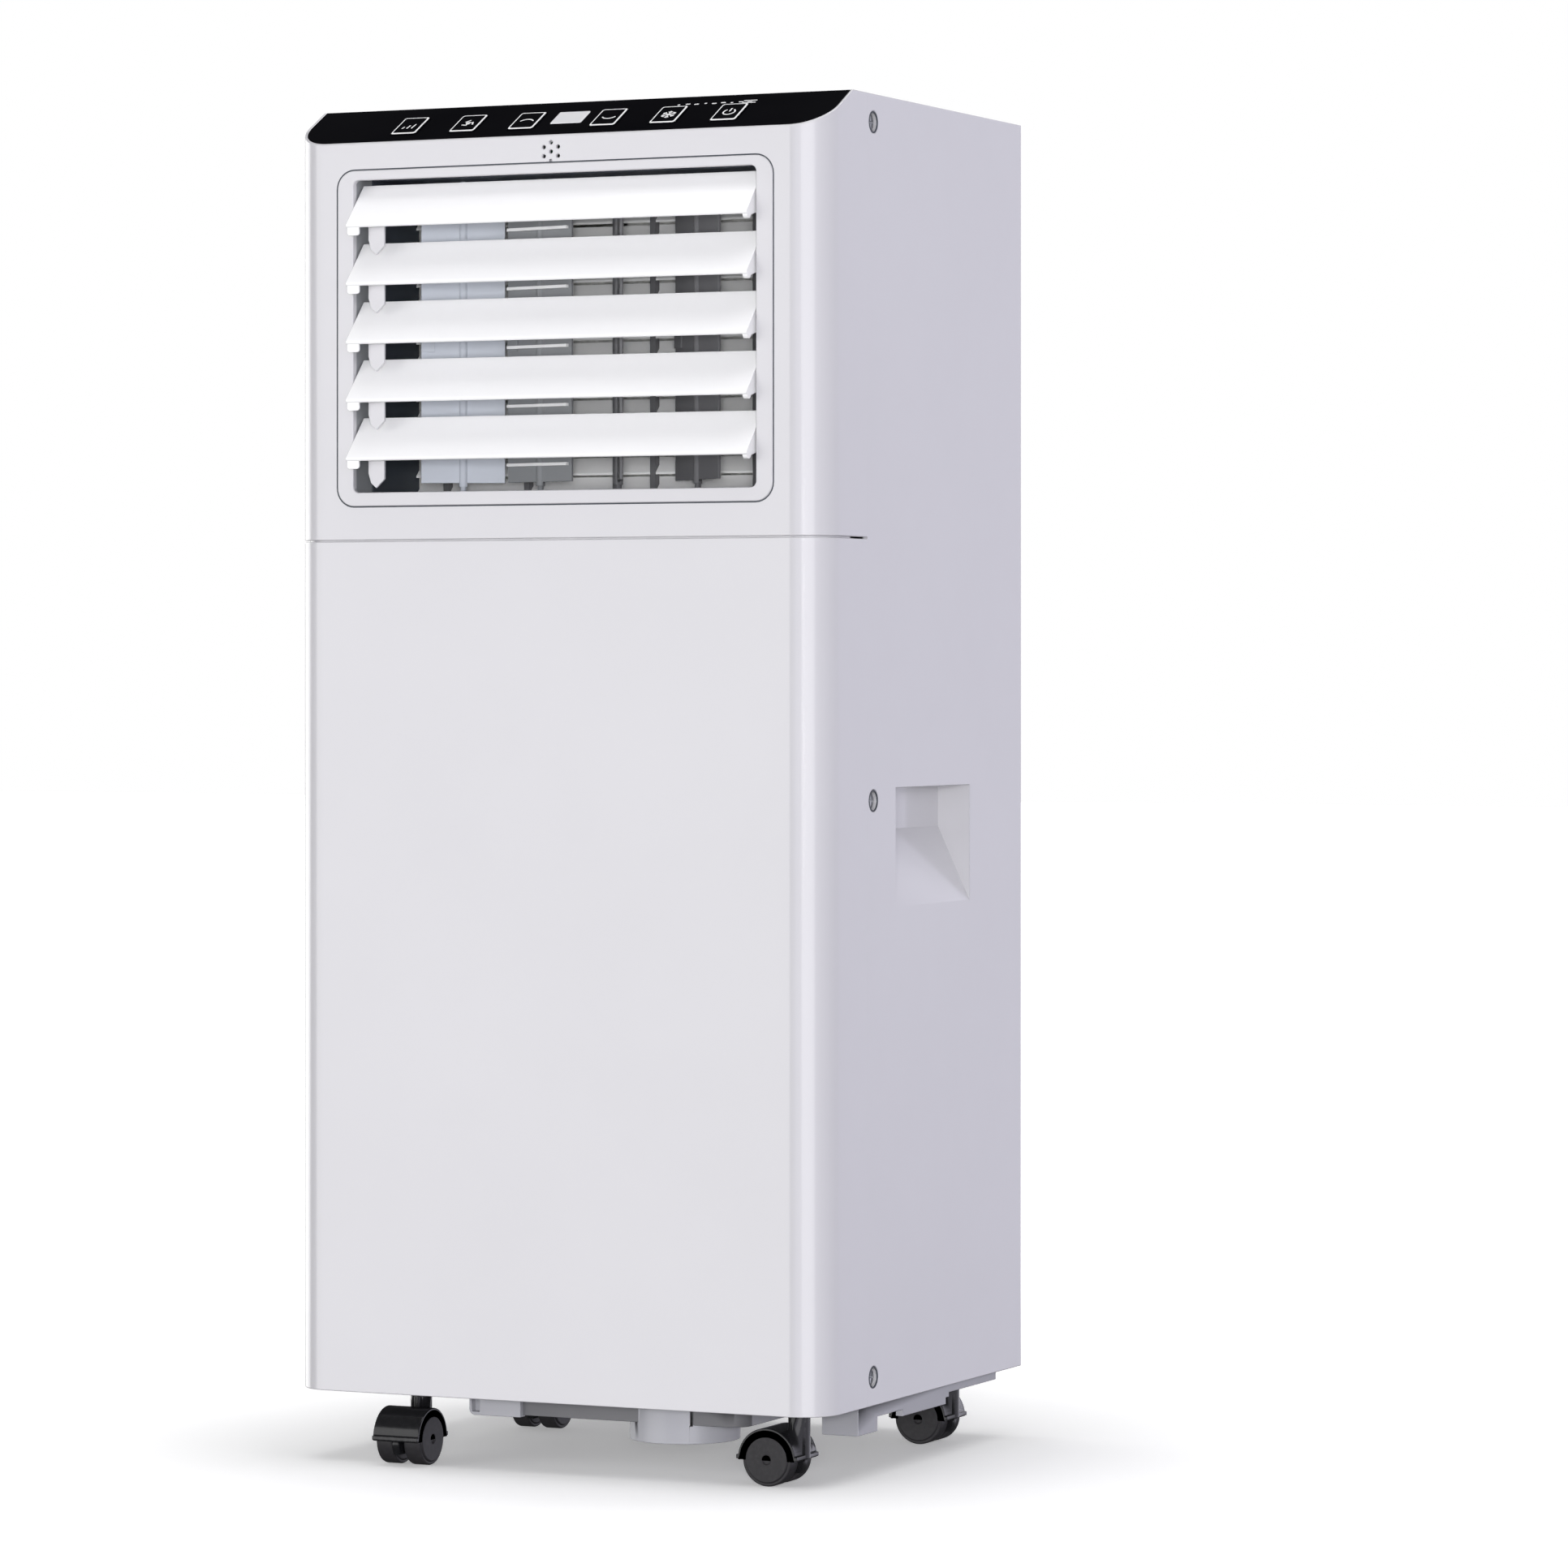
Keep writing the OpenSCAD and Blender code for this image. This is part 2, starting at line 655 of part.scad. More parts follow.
module condenser_scroll() {
  color(c_foam) {
    difference() {
      scroll_case(cond_x, cond_z, 86, 86, deck_z + wall);
      // throat opens up into the exhaust box
      box([cond_x - 104, 18.5, 248], [cond_x - 18, 77, 262]);
    }
    // exhaust box behind the collar
    difference() {
      box([exhaust_x - 73, 16, 250], [exhaust_x + 73, 118, 389]);
      box([exhaust_x - 70.5, 18.5, 252.5], [exhaust_x + 70.5, 115.5, 386.5]);
      ycyl(exhaust_r - 2, 110, 120, exhaust_x, exhaust_z);
      box([cond_x - 104, 18.5, 248], [cond_x - 18, 77, 262]);
    }
    // finger guard in the exhaust
    for (z = [-45:15:45])
      box([exhaust_x - 66, 112.5, exhaust_z + z - 1], [exhaust_x + 66, 115.6, exhaust_z + z + 1]);
    // hangers to the deck above
    for (s = [-1, 1])
      box([exhaust_x + s * 30 - 10, 40, 386], [exhaust_x + s * 30 + 10, 60, tray_z]);
  }
}

module exhaust_collar() {
  color(c_white) difference() {
    union() {
      ycyl(exhaust_r + 5, 118.05, ry, exhaust_x, exhaust_z);
      ycyl(exhaust_r + 9, rear_y + 0.05, rear_y + 1.6, exhaust_x, exhaust_z);
    }
    ycyl(exhaust_r, 117, ry + 1, exhaust_x, exhaust_z);
    // bayonet slots in the rim
    for (a = [30:120:270])
      translate([exhaust_x, 0, exhaust_z]) rotate([0, a, 0])
        box([-7, ry - 4, exhaust_r + 2], [7, ry + 1, exhaust_r + 6]);
  }
}

// ---------- heat exchangers ----------

module coil(z0, z1, y0, y1) {
  rows = floor((z1 - z0) / 25);
  step = (z1 - z0) / rows;
  for (s = [-1, 1]) box([s * 116 - 1, y0, z0], [s * 116 + 1, y1, z1]);
  // packed fins: a core with fin edges standing out of both faces
  box([-116, y0 + 3.5, z0 + 2], [116, y1 - 3.5, z1 - 2]);
  for (k = [0:38]) box([-114 + k * 6 - 0.6, y0 + 1, z0 + 2], [-114 + k * 6 + 0.6, y1 - 1, z1 - 2]);
  // return bends
  for (r = [0:rows - 1], s = [-1, 1]) {
    for (y = [y0 + 6, y1 - 6])
      xcyl(3.5, s > 0 ? 116 : -121, s > 0 ? 121 : -116, y, z0 + step * (r + 0.5));
    box([s * 121 - 3, y0 + 2.5, z0 + step * (r + 0.5) - 3.5],
      [s * 121 + 3, y1 - 2.5, z0 + step * (r + 0.5) + 3.5]);
  }
}

module evaporator_coil() { color(c_alu) coil(418, 648, 90, 112); }
module condenser_coil() { color(c_alu) coil(46, 246, 88, 112); }

module grille(z0, z1, pitch) {
  n = floor((z1 - z0 - 22) / pitch);
  box([-grille_hw, rear_y - 5, z0], [-grille_hw + 9, rear_y + 1.5, z1]);
  box([grille_hw - 9, rear_y - 5, z0], [grille_hw, rear_y + 1.5, z1]);
  box([-grille_hw, rear_y - 5, z0 + 0.5], [grille_hw, rear_y + 1.5, z0 + 9]);
  box([-grille_hw, rear_y - 5, z1 - 9], [grille_hw, rear_y + 1.5, z1]);
  for (k = [0:n]) box([-grille_hw + 1, rear_y - 2, z0 + 10.5 + k * pitch], [grille_hw - 1, rear_y + 1, z0 + 13 + k * pitch]);
  for (x = [-60, 0, 60]) box([x - 1.5, rear_y - 2.5, z0 + 1], [x + 1.5, rear_y + 0.5, z1 - 1]);
  // finger tab on the upper edge
  box([-14, rear_y + 1, z1 - 8], [14, rear_y + 3, z1 - 2]);
  for (s = [-1, 1]) xcyl(1.5, s > 0 ? grille_hw - 1 : -grille_hw - 3.2, s > 0 ? grille_hw + 3.2 : -grille_hw + 1, rear_y - 2.2, z0 + 2.5);
}

module filter(z0, z1) {
  fy0 = rear_y - 6.6;
  difference() {
    box([-grille_hw + 6, fy0, z0 + 6], [grille_hw - 6, fy0 + 1.6, z1 - 6]);
    for (i = [0:3], j = [0:2])
      box([-grille_hw + 12 + i * 54, fy0 - 1, z0 + 12 + j * (z1 - z0 - 20) / 3],
        [-grille_hw + 62 + i * 54, fy0 + 3, z0 + 8 + (j + 1) * (z1 - z0 - 20) / 3]);
  }
  // mesh sheet
  box([-grille_hw + 7, fy0 + 0.6, z0 + 7], [grille_hw - 7, fy0 + 1.1, z1 - 7]);
}

module upper_grille() { color(c_white) grille(upper_gr[0], upper_gr[1], 6.5); }
module lower_grille() { color(c_white) grille(lower_gr[0], lower_gr[1], 6.5); }
module upper_filter() { color(c_dark) filter(upper_gr[0], upper_gr[1]); }
module lower_filter() { color(c_dark) filter(lower_gr[0], lower_gr[1]); }

// ---------- deck, base and refrigeration ----------

module condensate_tray() {
  color(c_grey) {
    difference() {
      box([-hw + 13, fy + 12, tray_z], [hw - 13, rear_y - 8, tray_z + 4]);
      box([-134, -30, tray_z - 1], [-112, 10, tray_z + 5]);
      box([-hw, 92, tray_z - 1], [-126.5, 108, tray_z + 5]);
      box([127, 64, tray_z - 1], [hw, 80, tray_z + 5]);
    }
    difference() {
      box([-126, 82, tray_z], [126, rear_y - 8, tray_z + 22]);
      box([-124, 84, tray_z + 3], [124, rear_y - 10, tray_z + 23]);
    }
    for (s = [-1, 1]) box([s * 100 - 8, 92, tray_z + 2], [s * 100 + 8, 110, 418]);
  }
}

module compressor() {
  color(c_black) {
    translate([comp_x, comp_y, 62]) {
      cylinder(r = 46, h = 150);
      translate([0, 0, 150]) intersection() {
        cylinder(r = 46, h = 30);
        translate([0, 0, -46]) sphere(r = 66);
      }
      translate([0, 0, 160]) cylinder(r = 6, h = 28);
      translate([20, 8, 150]) cylinder(r = 10, h = 24);
      for (k = [0:2]) rotate([0, 0, 30 + k * 120]) translate([-9, 0, -6]) cube([18, 49, 3]);
      translate([0, 0, -4]) cylinder(r = 40, h = 6);
    }
    // suction accumulator
    translate([comp_x - 66, comp_y - 8, 90]) {
      cylinder(r = 17, h = 90);
      translate([0, 0, 90]) sphere(r = 17);
      sphere(r = 17);
      translate([14, -6, 20]) cube([12, 12, 8]);
      translate([14, -6, 62]) cube([12, 12, 8]);
    }
  }
}

module compressor_mounts() {
  color(c_dark) for (k = [0:2])
    translate([comp_x, comp_y, 0]) rotate([0, 0, 30 + k * 120]) translate([0, 41, deck_z + wall])
      difference() {
        cylinder(r = 7, h = 56 - deck_z - wall);
        translate([0, 0, -1]) cylinder(r = 3, h = 30);
      }
}

// Tube through a list of points, with brazed ball joints at the corners.
module tube(p, r) {
  for (i = [0:len(p) - 2]) {
    d = p[i + 1] - p[i];
    translate(p[i]) rotate([0, acos(d[2] / norm(d)), atan2(d[1], d[0])]) cylinder(r = r, h = norm(d));
  }
  for (i = [1:len(p) - 2]) translate(p[i]) sphere(r = r + 0.5);
}

module refrigerant_lines() {
  color(c_copper) {
    tube([[comp_x, comp_y, 249], [comp_x, comp_y, 266], [128, comp_y, 266], [128, 100, 266], [128, 100, 240], [124, 100, 240]], 4);
    tube([[comp_x - 66, comp_y - 8, 196], [comp_x - 66, comp_y - 8, 270], [-132, comp_y - 8, 270],
      [-132, 100, 270], [-132, 100, 440], [-124, 100, 440]], 5);
    tube([[124, 100, 70], [132, 100, 70], [132, 72, 70], [132, 72, 450], [132, 101, 450], [124, 101, 450]], 3);
    tube([[comp_x - 66, comp_y - 8, 74], [comp_x - 66, comp_y - 8, 66], [comp_x - 44, comp_y - 5, 66]], 4);
  }
}

module control_box() {
  color(c_steel) {
    difference() {
      box([-30, fy + 12, 292], [112, -52, tray_z - 0.05]);
      box([-28, fy + 14, 294], [110, -54, tray_z - 2]);
      for (k = [0:6]) box([-10 + k * 16, fy + 11, 370], [-2 + k * 16, fy + 15, 380]);
    }
    // circuit board and capacitor inside
    box([-22, -60, 300], [104, -58, 384]);
    box([10, -80, 310], [40, -60, 340]);
    box([-22, -58.2, 310], [-16, -53.5, 330]);
    box([96, -58.2, 310], [102, -53.5, 330]);
    translate([78, -76, 293]) cylinder(r = 14, h = 62);
  }
}

module slinger_motor() {
  color(c_dark) {
    ycyl(13, 40, 68, slinger_x, slinger_z);
    ycyl(2, 68, 82, slinger_x, slinger_z);
    box([slinger_x - 10, 42, deck_z + wall], [slinger_x + 10, 66, slinger_z - 8]);
  }
}

module slinger_wheel() {
  color(c_grey) difference() {
    union() {
      ycyl(19, 74, 76, slinger_x, slinger_z);
      ycyl(6, 72, 80, slinger_x, slinger_z);
      for (k = [0:7]) translate([slinger_x, 0, slinger_z]) rotate([0, k * 45, 0]) box([-1, 75, 5], [1, 79, 18.8]);
    }
    ycyl(2 + run_fit, 60, 90, slinger_x, slinger_z);
  }
}

module base_pan() {
  color(c_grey) difference() {
    union() {
      // deck
      difference() {
        translate([0, 0, deck_z]) linear_extrude(wall) plan(wall + 0.05);
        box([-hw, rear_y - wall - 0.05, deck_z - 1], [hw, ry + 1, deck_z + 9]);
      }
      // water dam
      difference() {
        box([-hw + 12, fy + 8, deck_z], [hw - 12, rear_y - 6, deck_z + 14]);
        box([-hw + 14, fy + 10, deck_z - 1], [hw - 14, rear_y - 8, deck_z + 15]);
      }
      // ribbed skirt under the deck
      translate([21, 10, 25.6]) linear_extrude(base_z - 25.6 + 1.5) difference() {
        rrect(146, 208, 10);
        rrect(141, 203, 7.5);
      }
      for (y = [-30, 10, 50, 90]) box([-50, y - 1, 31], [92, y + 1, deck_z + 0.5]);
      for (x = [-15, 21, 57]) box([x - 1, -40, 31.5], [x + 1, 112, deck_z + 0.5]);
      // front bar with a round lower corner, pocketed at its left end
      difference() {
        pull_y(-97, -91.5) {
          translate([-56, 24.8]) square([26.3, deck_z + 0.5 - 24.8]);
          translate([-59, 27.8]) square([6, deck_z + 0.5 - 27.8]);
          translate([-56, 27.8]) circle(3);
        }
        box([-57.6, -98, 26.6], [-53.2, -92.6, base_z - 0.6]);
      }
      // compressor well
      translate([well_x, well_y, well_z]) cylinder(r = 28, h = deck_z + 1 - well_z);
      // side runners and feet
      for (s = [-1, 1]) {
        box([s > 0 ? 136 : -144, -66, 30.6], [s > 0 ? 144 : -136, 110, 38]);
        box([s > 0 ? 137 : -144, s > 0 ? -66 : -30, 28.3], [s > 0 ? 144 : -137, 48, 31]);
        box([s > 0 ? 140 : -144, -11, 24.9], [s > 0 ? 144 : -140, 44, 29]);
      }
      box([124, -66, 21], [144, -42, 38]);
      // caster sockets
      for (c = caster_at) translate([c[0], c[1], deck_z - 2]) cylinder(r = 8.4, h = 15.5);
      // drain spout
      ycyl(8, rear_y - 9, ry - 1, drain_x, drain_z - 3);
      box([drain_x - 5.5, rear_y - 8.5, deck_z + 1], [drain_x + 5.5, rear_y - 6.5, drain_z - 5]);
    }
    // hollow of the well and its drain slots
    translate([well_x, well_y, well_z + 2]) cylinder(r = 26, h = 40);
    translate([well_x, well_y, 0]) {
      rotate([0, 0, -57.5]) box([20, -0.7, 25], [30, 0.7, 33.6]);
      rotate([0, 0, -146]) box([20, -0.6, well_z + 1], [30, 0.6, well_z + 6]);
    }
    for (c = caster_at) translate([c[0], c[1], deck_z - 4]) cylinder(r = stem_r + run_fit, h = 15);
    ycyl(6.05, rear_y - 20, ry, drain_x, drain_z - 3);
  }
}

module drain_plug() {
  color(c_dark) {
    ycyl(6, rear_y - 6, ry - 0.9, drain_x, drain_z - 3);
    ycyl(8, ry - 0.95, ry, drain_x, drain_z - 3);
  }
}

module side_screws() {
  color(c_steel) for (s = [-1, 1], z = screw_z)
    mirror([s > 0 ? 0 : 1, 0, 0]) difference() {
      union() {
        xcyl(4.4, hw - 3.95, hw - 2, screw_y, z);
        xcyl(2, hw - 11.5, hw - 3.9, screw_y, z);
      }
      for (a = [0, 90]) translate([hw - 3, screw_y, z]) rotate([a, 0, 0]) translate([0, -2.6, -0.5]) cube([3, 5.2, 1]);
    }
}

module cord_gland() {
  color(c_dark) difference() {
    union() {
      ycyl(8.9, rear_y - 12, rear_y, gland_x, gland_z);
      ycyl(12, rear_y + 0.05, rear_y + 2, gland_x, gland_z);
      ycyl(8, rear_y, ry - 0.5, gland_x, gland_z);
      ycyl(12, rear_y - 6, rear_y - wall - 0.05, gland_x, gland_z);
    }
    ycyl(4, rear_y - 20, ry + 1, gland_x, gland_z);
  }
}

// ---------- casters ----------

// Swivel fork: hood over both wheels, centre web, column and swivel pin.
module caster_fork(c) {
  hood_r = wheel_r + 2.5;
  translate([c[0], c[1], 0]) rotate([0, 0, c[2]]) {
    // pin and shoulder
    cylinder_z(stem_r, 30, deck_z + 10.6);
    difference() {
      union() {
        ycyl(hood_r, -caster_w / 2 + 0.4, caster_w / 2 - 0.4, -trail, wheel_r);
        cylinder_z(5.5, wheel_r, deck_z - 2.5);
        box([-trail - hood_r - 1, -caster_w / 2 + 0.4, wheel_r], [-trail + hood_r + 1, caster_w / 2 - 0.4, wheel_r + 2.2]);
      }
      for (s = [-1, 1])
        ycyl(wheel_r + 1, s > 0 ? 2 : -caster_w, s > 0 ? caster_w : -2, -trail, wheel_r);
      box([-trail - hood_r - 2, -caster_w, -5], [-trail + hood_r + 2, -2, wheel_r - 0.5]);
      box([-trail - hood_r - 2, 2, -5], [-trail + hood_r + 2, caster_w, wheel_r - 0.5]);
      box([-trail - hood_r - 2, -caster_w, -5], [-trail + hood_r + 2, caster_w, 6]);
      ycyl(2 + run_fit, -caster_w, caster_w, -trail, wheel_r);
    }
  }
}

module cylinder_z(r, z0, z1) {
  translate([0, 0, z0]) cylinder(r = r, h = z1 - z0);
}

// Wheel pair on one axle.
module caster_wheels(c) {
  translate([c[0], c[1], 0]) rotate([0, 0, c[2]]) {
    ycyl(2, -8, 8, -trail, wheel_r);
    for (s = [-1, 1]) mirror([0, s > 0 ? 0 : 1, 0]) difference() {
      union() {
        ycyl(wheel_r, 3.2, caster_w / 2 - 1, -trail, wheel_r);
        ycyl(wheel_r - 1.6, 3, caster_w / 2 - 0.2, -trail, wheel_r);
      }
      ycyl(2, caster_w / 2 - 1, caster_w / 2 + 1, -trail, wheel_r);
    }
  }
}

module caster_fork_1() { color(c_black) caster_fork(caster_at[0]); }
module caster_fork_2() { color(c_black) caster_fork(caster_at[1]); }
module caster_fork_3() { color(c_black) caster_fork(caster_at[2]); }
module caster_fork_4() { color(c_black) caster_fork(caster_at[3]); }
module caster_wheels_1() { color(c_dark) caster_wheels(caster_at[0]); }
module caster_wheels_2() { color(c_dark) caster_wheels(caster_at[1]); }
module caster_wheels_3() { color(c_dark) caster_wheels(caster_at[2]); }
module caster_wheels_4() { color(c_dark) caster_wheels(caster_at[3]); }

// ---------- output ----------

front_panel_upper();
front_panel_lower();
side_panel_left();
side_panel_right();
rear_panel();
top_cover();
control_panel();
display_window();
display_board();
key_timer();
key_fan_speed();
key_down();
key_up();
key_mode();
key_power();
outlet_bezel();
louver_1();
louver_2();
louver_3();
louver_4();
louver_5();
louver_link();
swing_motor();
vane_1();
vane_2();
vane_3();
vane_4();
outlet_guard();
evaporator_scroll();
evaporator_fan();
evaporator_motor();
evaporator_coil();
upper_grille();
upper_filter();
condensate_tray();
condenser_scroll();
condenser_fan();
condenser_motor();
condenser_coil();
lower_grille();
lower_filter();
exhaust_collar();
compressor();
compressor_mounts();
refrigerant_lines();
control_box();
slinger_motor();
slinger_wheel();
base_pan();
drain_plug();
side_screws();
cord_gland();
caster_fork_1();
caster_fork_2();
caster_fork_3();
caster_fork_4();
caster_wheels_1();
caster_wheels_2();
caster_wheels_3();
caster_wheels_4();
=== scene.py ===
import json
import math

import bmesh
import bpy
from mathutils import Matrix, Vector


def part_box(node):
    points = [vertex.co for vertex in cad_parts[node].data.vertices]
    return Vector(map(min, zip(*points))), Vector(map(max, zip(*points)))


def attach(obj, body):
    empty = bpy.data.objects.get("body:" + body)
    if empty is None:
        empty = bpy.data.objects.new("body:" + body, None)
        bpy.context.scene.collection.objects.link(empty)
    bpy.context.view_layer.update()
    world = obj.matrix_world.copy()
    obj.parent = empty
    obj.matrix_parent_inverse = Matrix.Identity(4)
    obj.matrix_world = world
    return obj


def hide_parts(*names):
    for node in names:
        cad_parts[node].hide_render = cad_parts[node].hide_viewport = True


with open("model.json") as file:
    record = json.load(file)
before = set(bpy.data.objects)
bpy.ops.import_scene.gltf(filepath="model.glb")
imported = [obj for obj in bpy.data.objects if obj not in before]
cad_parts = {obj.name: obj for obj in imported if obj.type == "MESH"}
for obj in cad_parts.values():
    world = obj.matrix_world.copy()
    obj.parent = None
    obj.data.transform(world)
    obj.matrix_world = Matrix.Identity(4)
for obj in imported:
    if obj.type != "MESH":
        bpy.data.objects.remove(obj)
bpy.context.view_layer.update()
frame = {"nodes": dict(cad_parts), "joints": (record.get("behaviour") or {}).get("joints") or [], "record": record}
nodes = frame["nodes"]
scene = bpy.context.scene
MM = 0.001
QUARTER = math.pi / 2

node_body = {n: b for b, ns in frame["record"]["behaviour"]["bodies"].items() for n in ns}
node_slot = {s["node"]: s["material_slot"] for s in frame["record"]["subparts"]}


# ---------------------------------------------------------------- materials

# a Mix node's sockets for colours
MIX_FACTOR, MIX_A, MIX_B, MIX_RESULT = 0, 6, 7, 2


class Graph:
    """A material's node tree with short helpers."""

    def __init__(self, name):
        self.mat = bpy.data.materials.new(name)
        self.mat.use_nodes = True
        self.nt = self.mat.node_tree
        self.bsdf = self.nt.nodes["Principled BSDF"]
        self.at = self.nt.nodes.new("ShaderNodeTexCoord").outputs["Object"]

    def add(self, kind, **inputs):
        n = self.nt.nodes.new("ShaderNode" + kind)
        for key, value in inputs.items():
            key = key.replace("_", " ")
            if isinstance(value, bpy.types.NodeSocket):
                self.nt.links.new(value, n.inputs[key])
            else:
                n.inputs[key].default_value = value
        return n

    def link(self, a, b):
        self.nt.links.new(a, b)

    def scaled(self, scale, rotation=(0, 0, 0)):
        return self.add("Mapping", Vector=self.at, Scale=scale, Rotation=rotation).outputs[0]

    def noise(self, scale, detail=3.0, rough=0.5, vector=None):
        n = self.add("TexNoise", Vector=vector or self.at, Scale=scale, Detail=detail, Roughness=rough)
        return n.outputs["Fac"]

    def span(self, fac, lo, hi, a=0.0, b=1.0):
        n = self.add("MapRange", Value=fac)
        n.inputs["From Min"].default_value = a
        n.inputs["From Max"].default_value = b
        n.inputs["To Min"].default_value = lo
        n.inputs["To Max"].default_value = hi
        return n.outputs[0]

    def math(self, op, a, b):
        n = self.nt.nodes.new("ShaderNodeMath")
        n.operation = op
        for i, v in enumerate((a, b)):
            if isinstance(v, bpy.types.NodeSocket):
                self.link(v, n.inputs[i])
            else:
                n.inputs[i].default_value = v
        return n.outputs[0]

    def mix(self, fac, a, b):
        n = self.nt.nodes.new("ShaderNodeMix")
        n.data_type = "RGBA"
        for index, v in ((MIX_FACTOR, fac), (MIX_A, a), (MIX_B, b)):
            sock = n.inputs[index]
            if isinstance(v, bpy.types.NodeSocket):
                self.link(v, sock)
            elif isinstance(v, tuple):
                sock.default_value = (*v, 1.0)
            else:
                sock.default_value = v
        return n.outputs[MIX_RESULT]

    def bump(self, height, strength, distance):
        return self.add("Bump", Height=height, Strength=strength, Distance=distance).outputs[0]

    def set(self, **values):
        for key, value in values.items():
            key = key.replace("_", " ")
            sock = self.bsdf.inputs[key]
            if isinstance(value, bpy.types.NodeSocket):
                self.link(value, sock)
            elif isinstance(value, tuple):
                sock.default_value = (*value, 1.0)
            else:
                sock.default_value = value
        return self.mat


def moulded(name, light, dark, rough, grain=2600.0, bump=0.12, coat=0.0, coat_rough=0.08, wear=None,
            shine=0.5):
    """Injection-moulded plastic: spark-eroded grain, faint flow mottling, worn edges where asked."""
    g = Graph(name)
    mottle = g.noise(9.0, 4.0)
    cloud = g.noise(55.0, 5.0, 0.6)
    base = g.mix(g.span(mottle, 0.0, 1.0, 0.35, 0.68), dark, light)
    if wear is not None:
        edge = g.add("NewGeometry").outputs["Pointiness"]
        rubbed = g.span(g.noise(420.0, 6.0), 0.0, 1.0, 0.42, 0.7)
        worn = g.math("MULTIPLY", g.span(edge, 0.0, 1.0, 0.53, 0.6), rubbed)
        base = g.mix(worn, base, wear)
    fine = g.noise(grain, 2.0)
    return g.set(
        Base_Color=base,
        Roughness=g.span(cloud, rough - 0.02, rough + 0.03, 0.3, 0.7),
        Normal=g.bump(fine, bump, 0.00008),
        Coat_Weight=coat,
        Coat_Roughness=coat_rough,
        Specular_IOR_Level=shine,
    )


def mesh_screen():
    """Woven filter cloth with dust caught in patches."""
    g = Graph("filter_mesh")
    warp = g.add("TexWave", Vector=g.at, Scale=420.0, Distortion=0.2).outputs["Fac"]
    turned = g.scaled((1, 1, 1), (0, QUARTER, 0))
    weft = g.add("TexWave", Vector=turned, Scale=420.0, Distortion=0.2).outputs["Fac"]
    weave = g.math("MAXIMUM", warp, weft)
    dust = g.noise(38.0, 6.0, 0.65)
    base = g.mix(g.span(dust, 0.0, 0.35, 0.45, 0.8), (0.035, 0.038, 0.042), (0.11, 0.11, 0.11))
    return g.set(
        Base_Color=base,
        Roughness=g.span(dust, 0.5, 0.75),
        Normal=g.bump(weave, 0.5, 0.0003),
        Sheen_Weight=0.15,
    )


def foam():
    """Expanded bead foam: fused pearls about 3 mm across."""
    g = Graph("foam_white")
    bead = g.add("TexVoronoi", Vector=g.at, Scale=330.0).outputs["Distance"]
    tint = g.noise(16.0, 4.0)
    base = g.mix(g.span(bead, 0.0, 1.0, 0.1, 0.75), (0.86, 0.86, 0.84), (0.7, 0.7, 0.68))
    base = g.mix(g.span(tint, 0.0, 0.25, 0.4, 0.7), base, (0.78, 0.77, 0.72))
    return g.set(Base_Color=base, Roughness=g.span(bead, 0.7, 0.92), Normal=g.bump(bead, 0.45, -0.0005))


def steel():
    """Drawn sheet and shafts: fine streaks along Z, dull stains."""
    g = Graph("steel")
    streak = g.noise(6.0, 6.0, 0.65, g.scaled((3.0, 3.0, 260.0)))
    stain = g.noise(22.0, 5.0)
    base = g.mix(g.span(stain, 0.0, 1.0, 0.3, 0.75), (0.42, 0.43, 0.45), (0.62, 0.63, 0.65))
    return g.set(
        Base_Color=base,
        Metallic=1.0,
        Roughness=g.span(streak, 0.22, 0.44),
        Normal=g.bump(streak, 0.1, 0.0001),
    )


def finned():
    """Stacked aluminium fins at 1.6 mm, each a thin bright edge with shadow between."""
    g = Graph("fin_alu")
    wave = g.add("TexWave", Vector=g.at, Scale=98.0).outputs["Fac"]
    bent = g.noise(60.0, 4.0)
    base = g.mix(g.span(wave, 0.0, 1.0, 0.15, 0.6), (0.2, 0.21, 0.23), (0.8, 0.82, 0.84))
    return g.set(
        Base_Color=base,
        Metallic=0.9,
        Roughness=g.span(bent, 0.28, 0.5),
        Normal=g.bump(wave, 0.8, 0.0008),
    )


def copper():
    """Drawn tube, tarnished in patches."""
    g = Graph("copper")
    patina = g.noise(30.0, 6.0, 0.6)
    spots = g.noise(210.0, 4.0)
    base = g.mix(g.span(patina, 0.0, 1.0, 0.38, 0.68), (0.8, 0.42, 0.26), (0.42, 0.2, 0.12))
    return g.set(
        Base_Color=base,
        Metallic=1.0,
        Roughness=g.span(spots, 0.2, 0.42),
        Normal=g.bump(spots, 0.08, 0.0001),
    )


def board():
    """Circuit board: tracks under green lacquer, and solder spots."""
    g = Graph("board_green")
    traces = g.add("TexBrick", Vector=g.scaled((1, 1, 1)), Scale=130.0).outputs["Fac"]
    spots = g.add("TexVoronoi", Vector=g.at, Scale=420.0).outputs["Distance"]
    base = g.mix(traces, (0.02, 0.14, 0.06), (0.05, 0.26, 0.12))
    base = g.mix(g.span(spots, 1.0, 0.0, 0.08, 0.14), base, (0.6, 0.6, 0.56))
    return g.set(Base_Color=base, Roughness=g.span(g.noise(90.0), 0.25, 0.42), Coat_Weight=0.4)


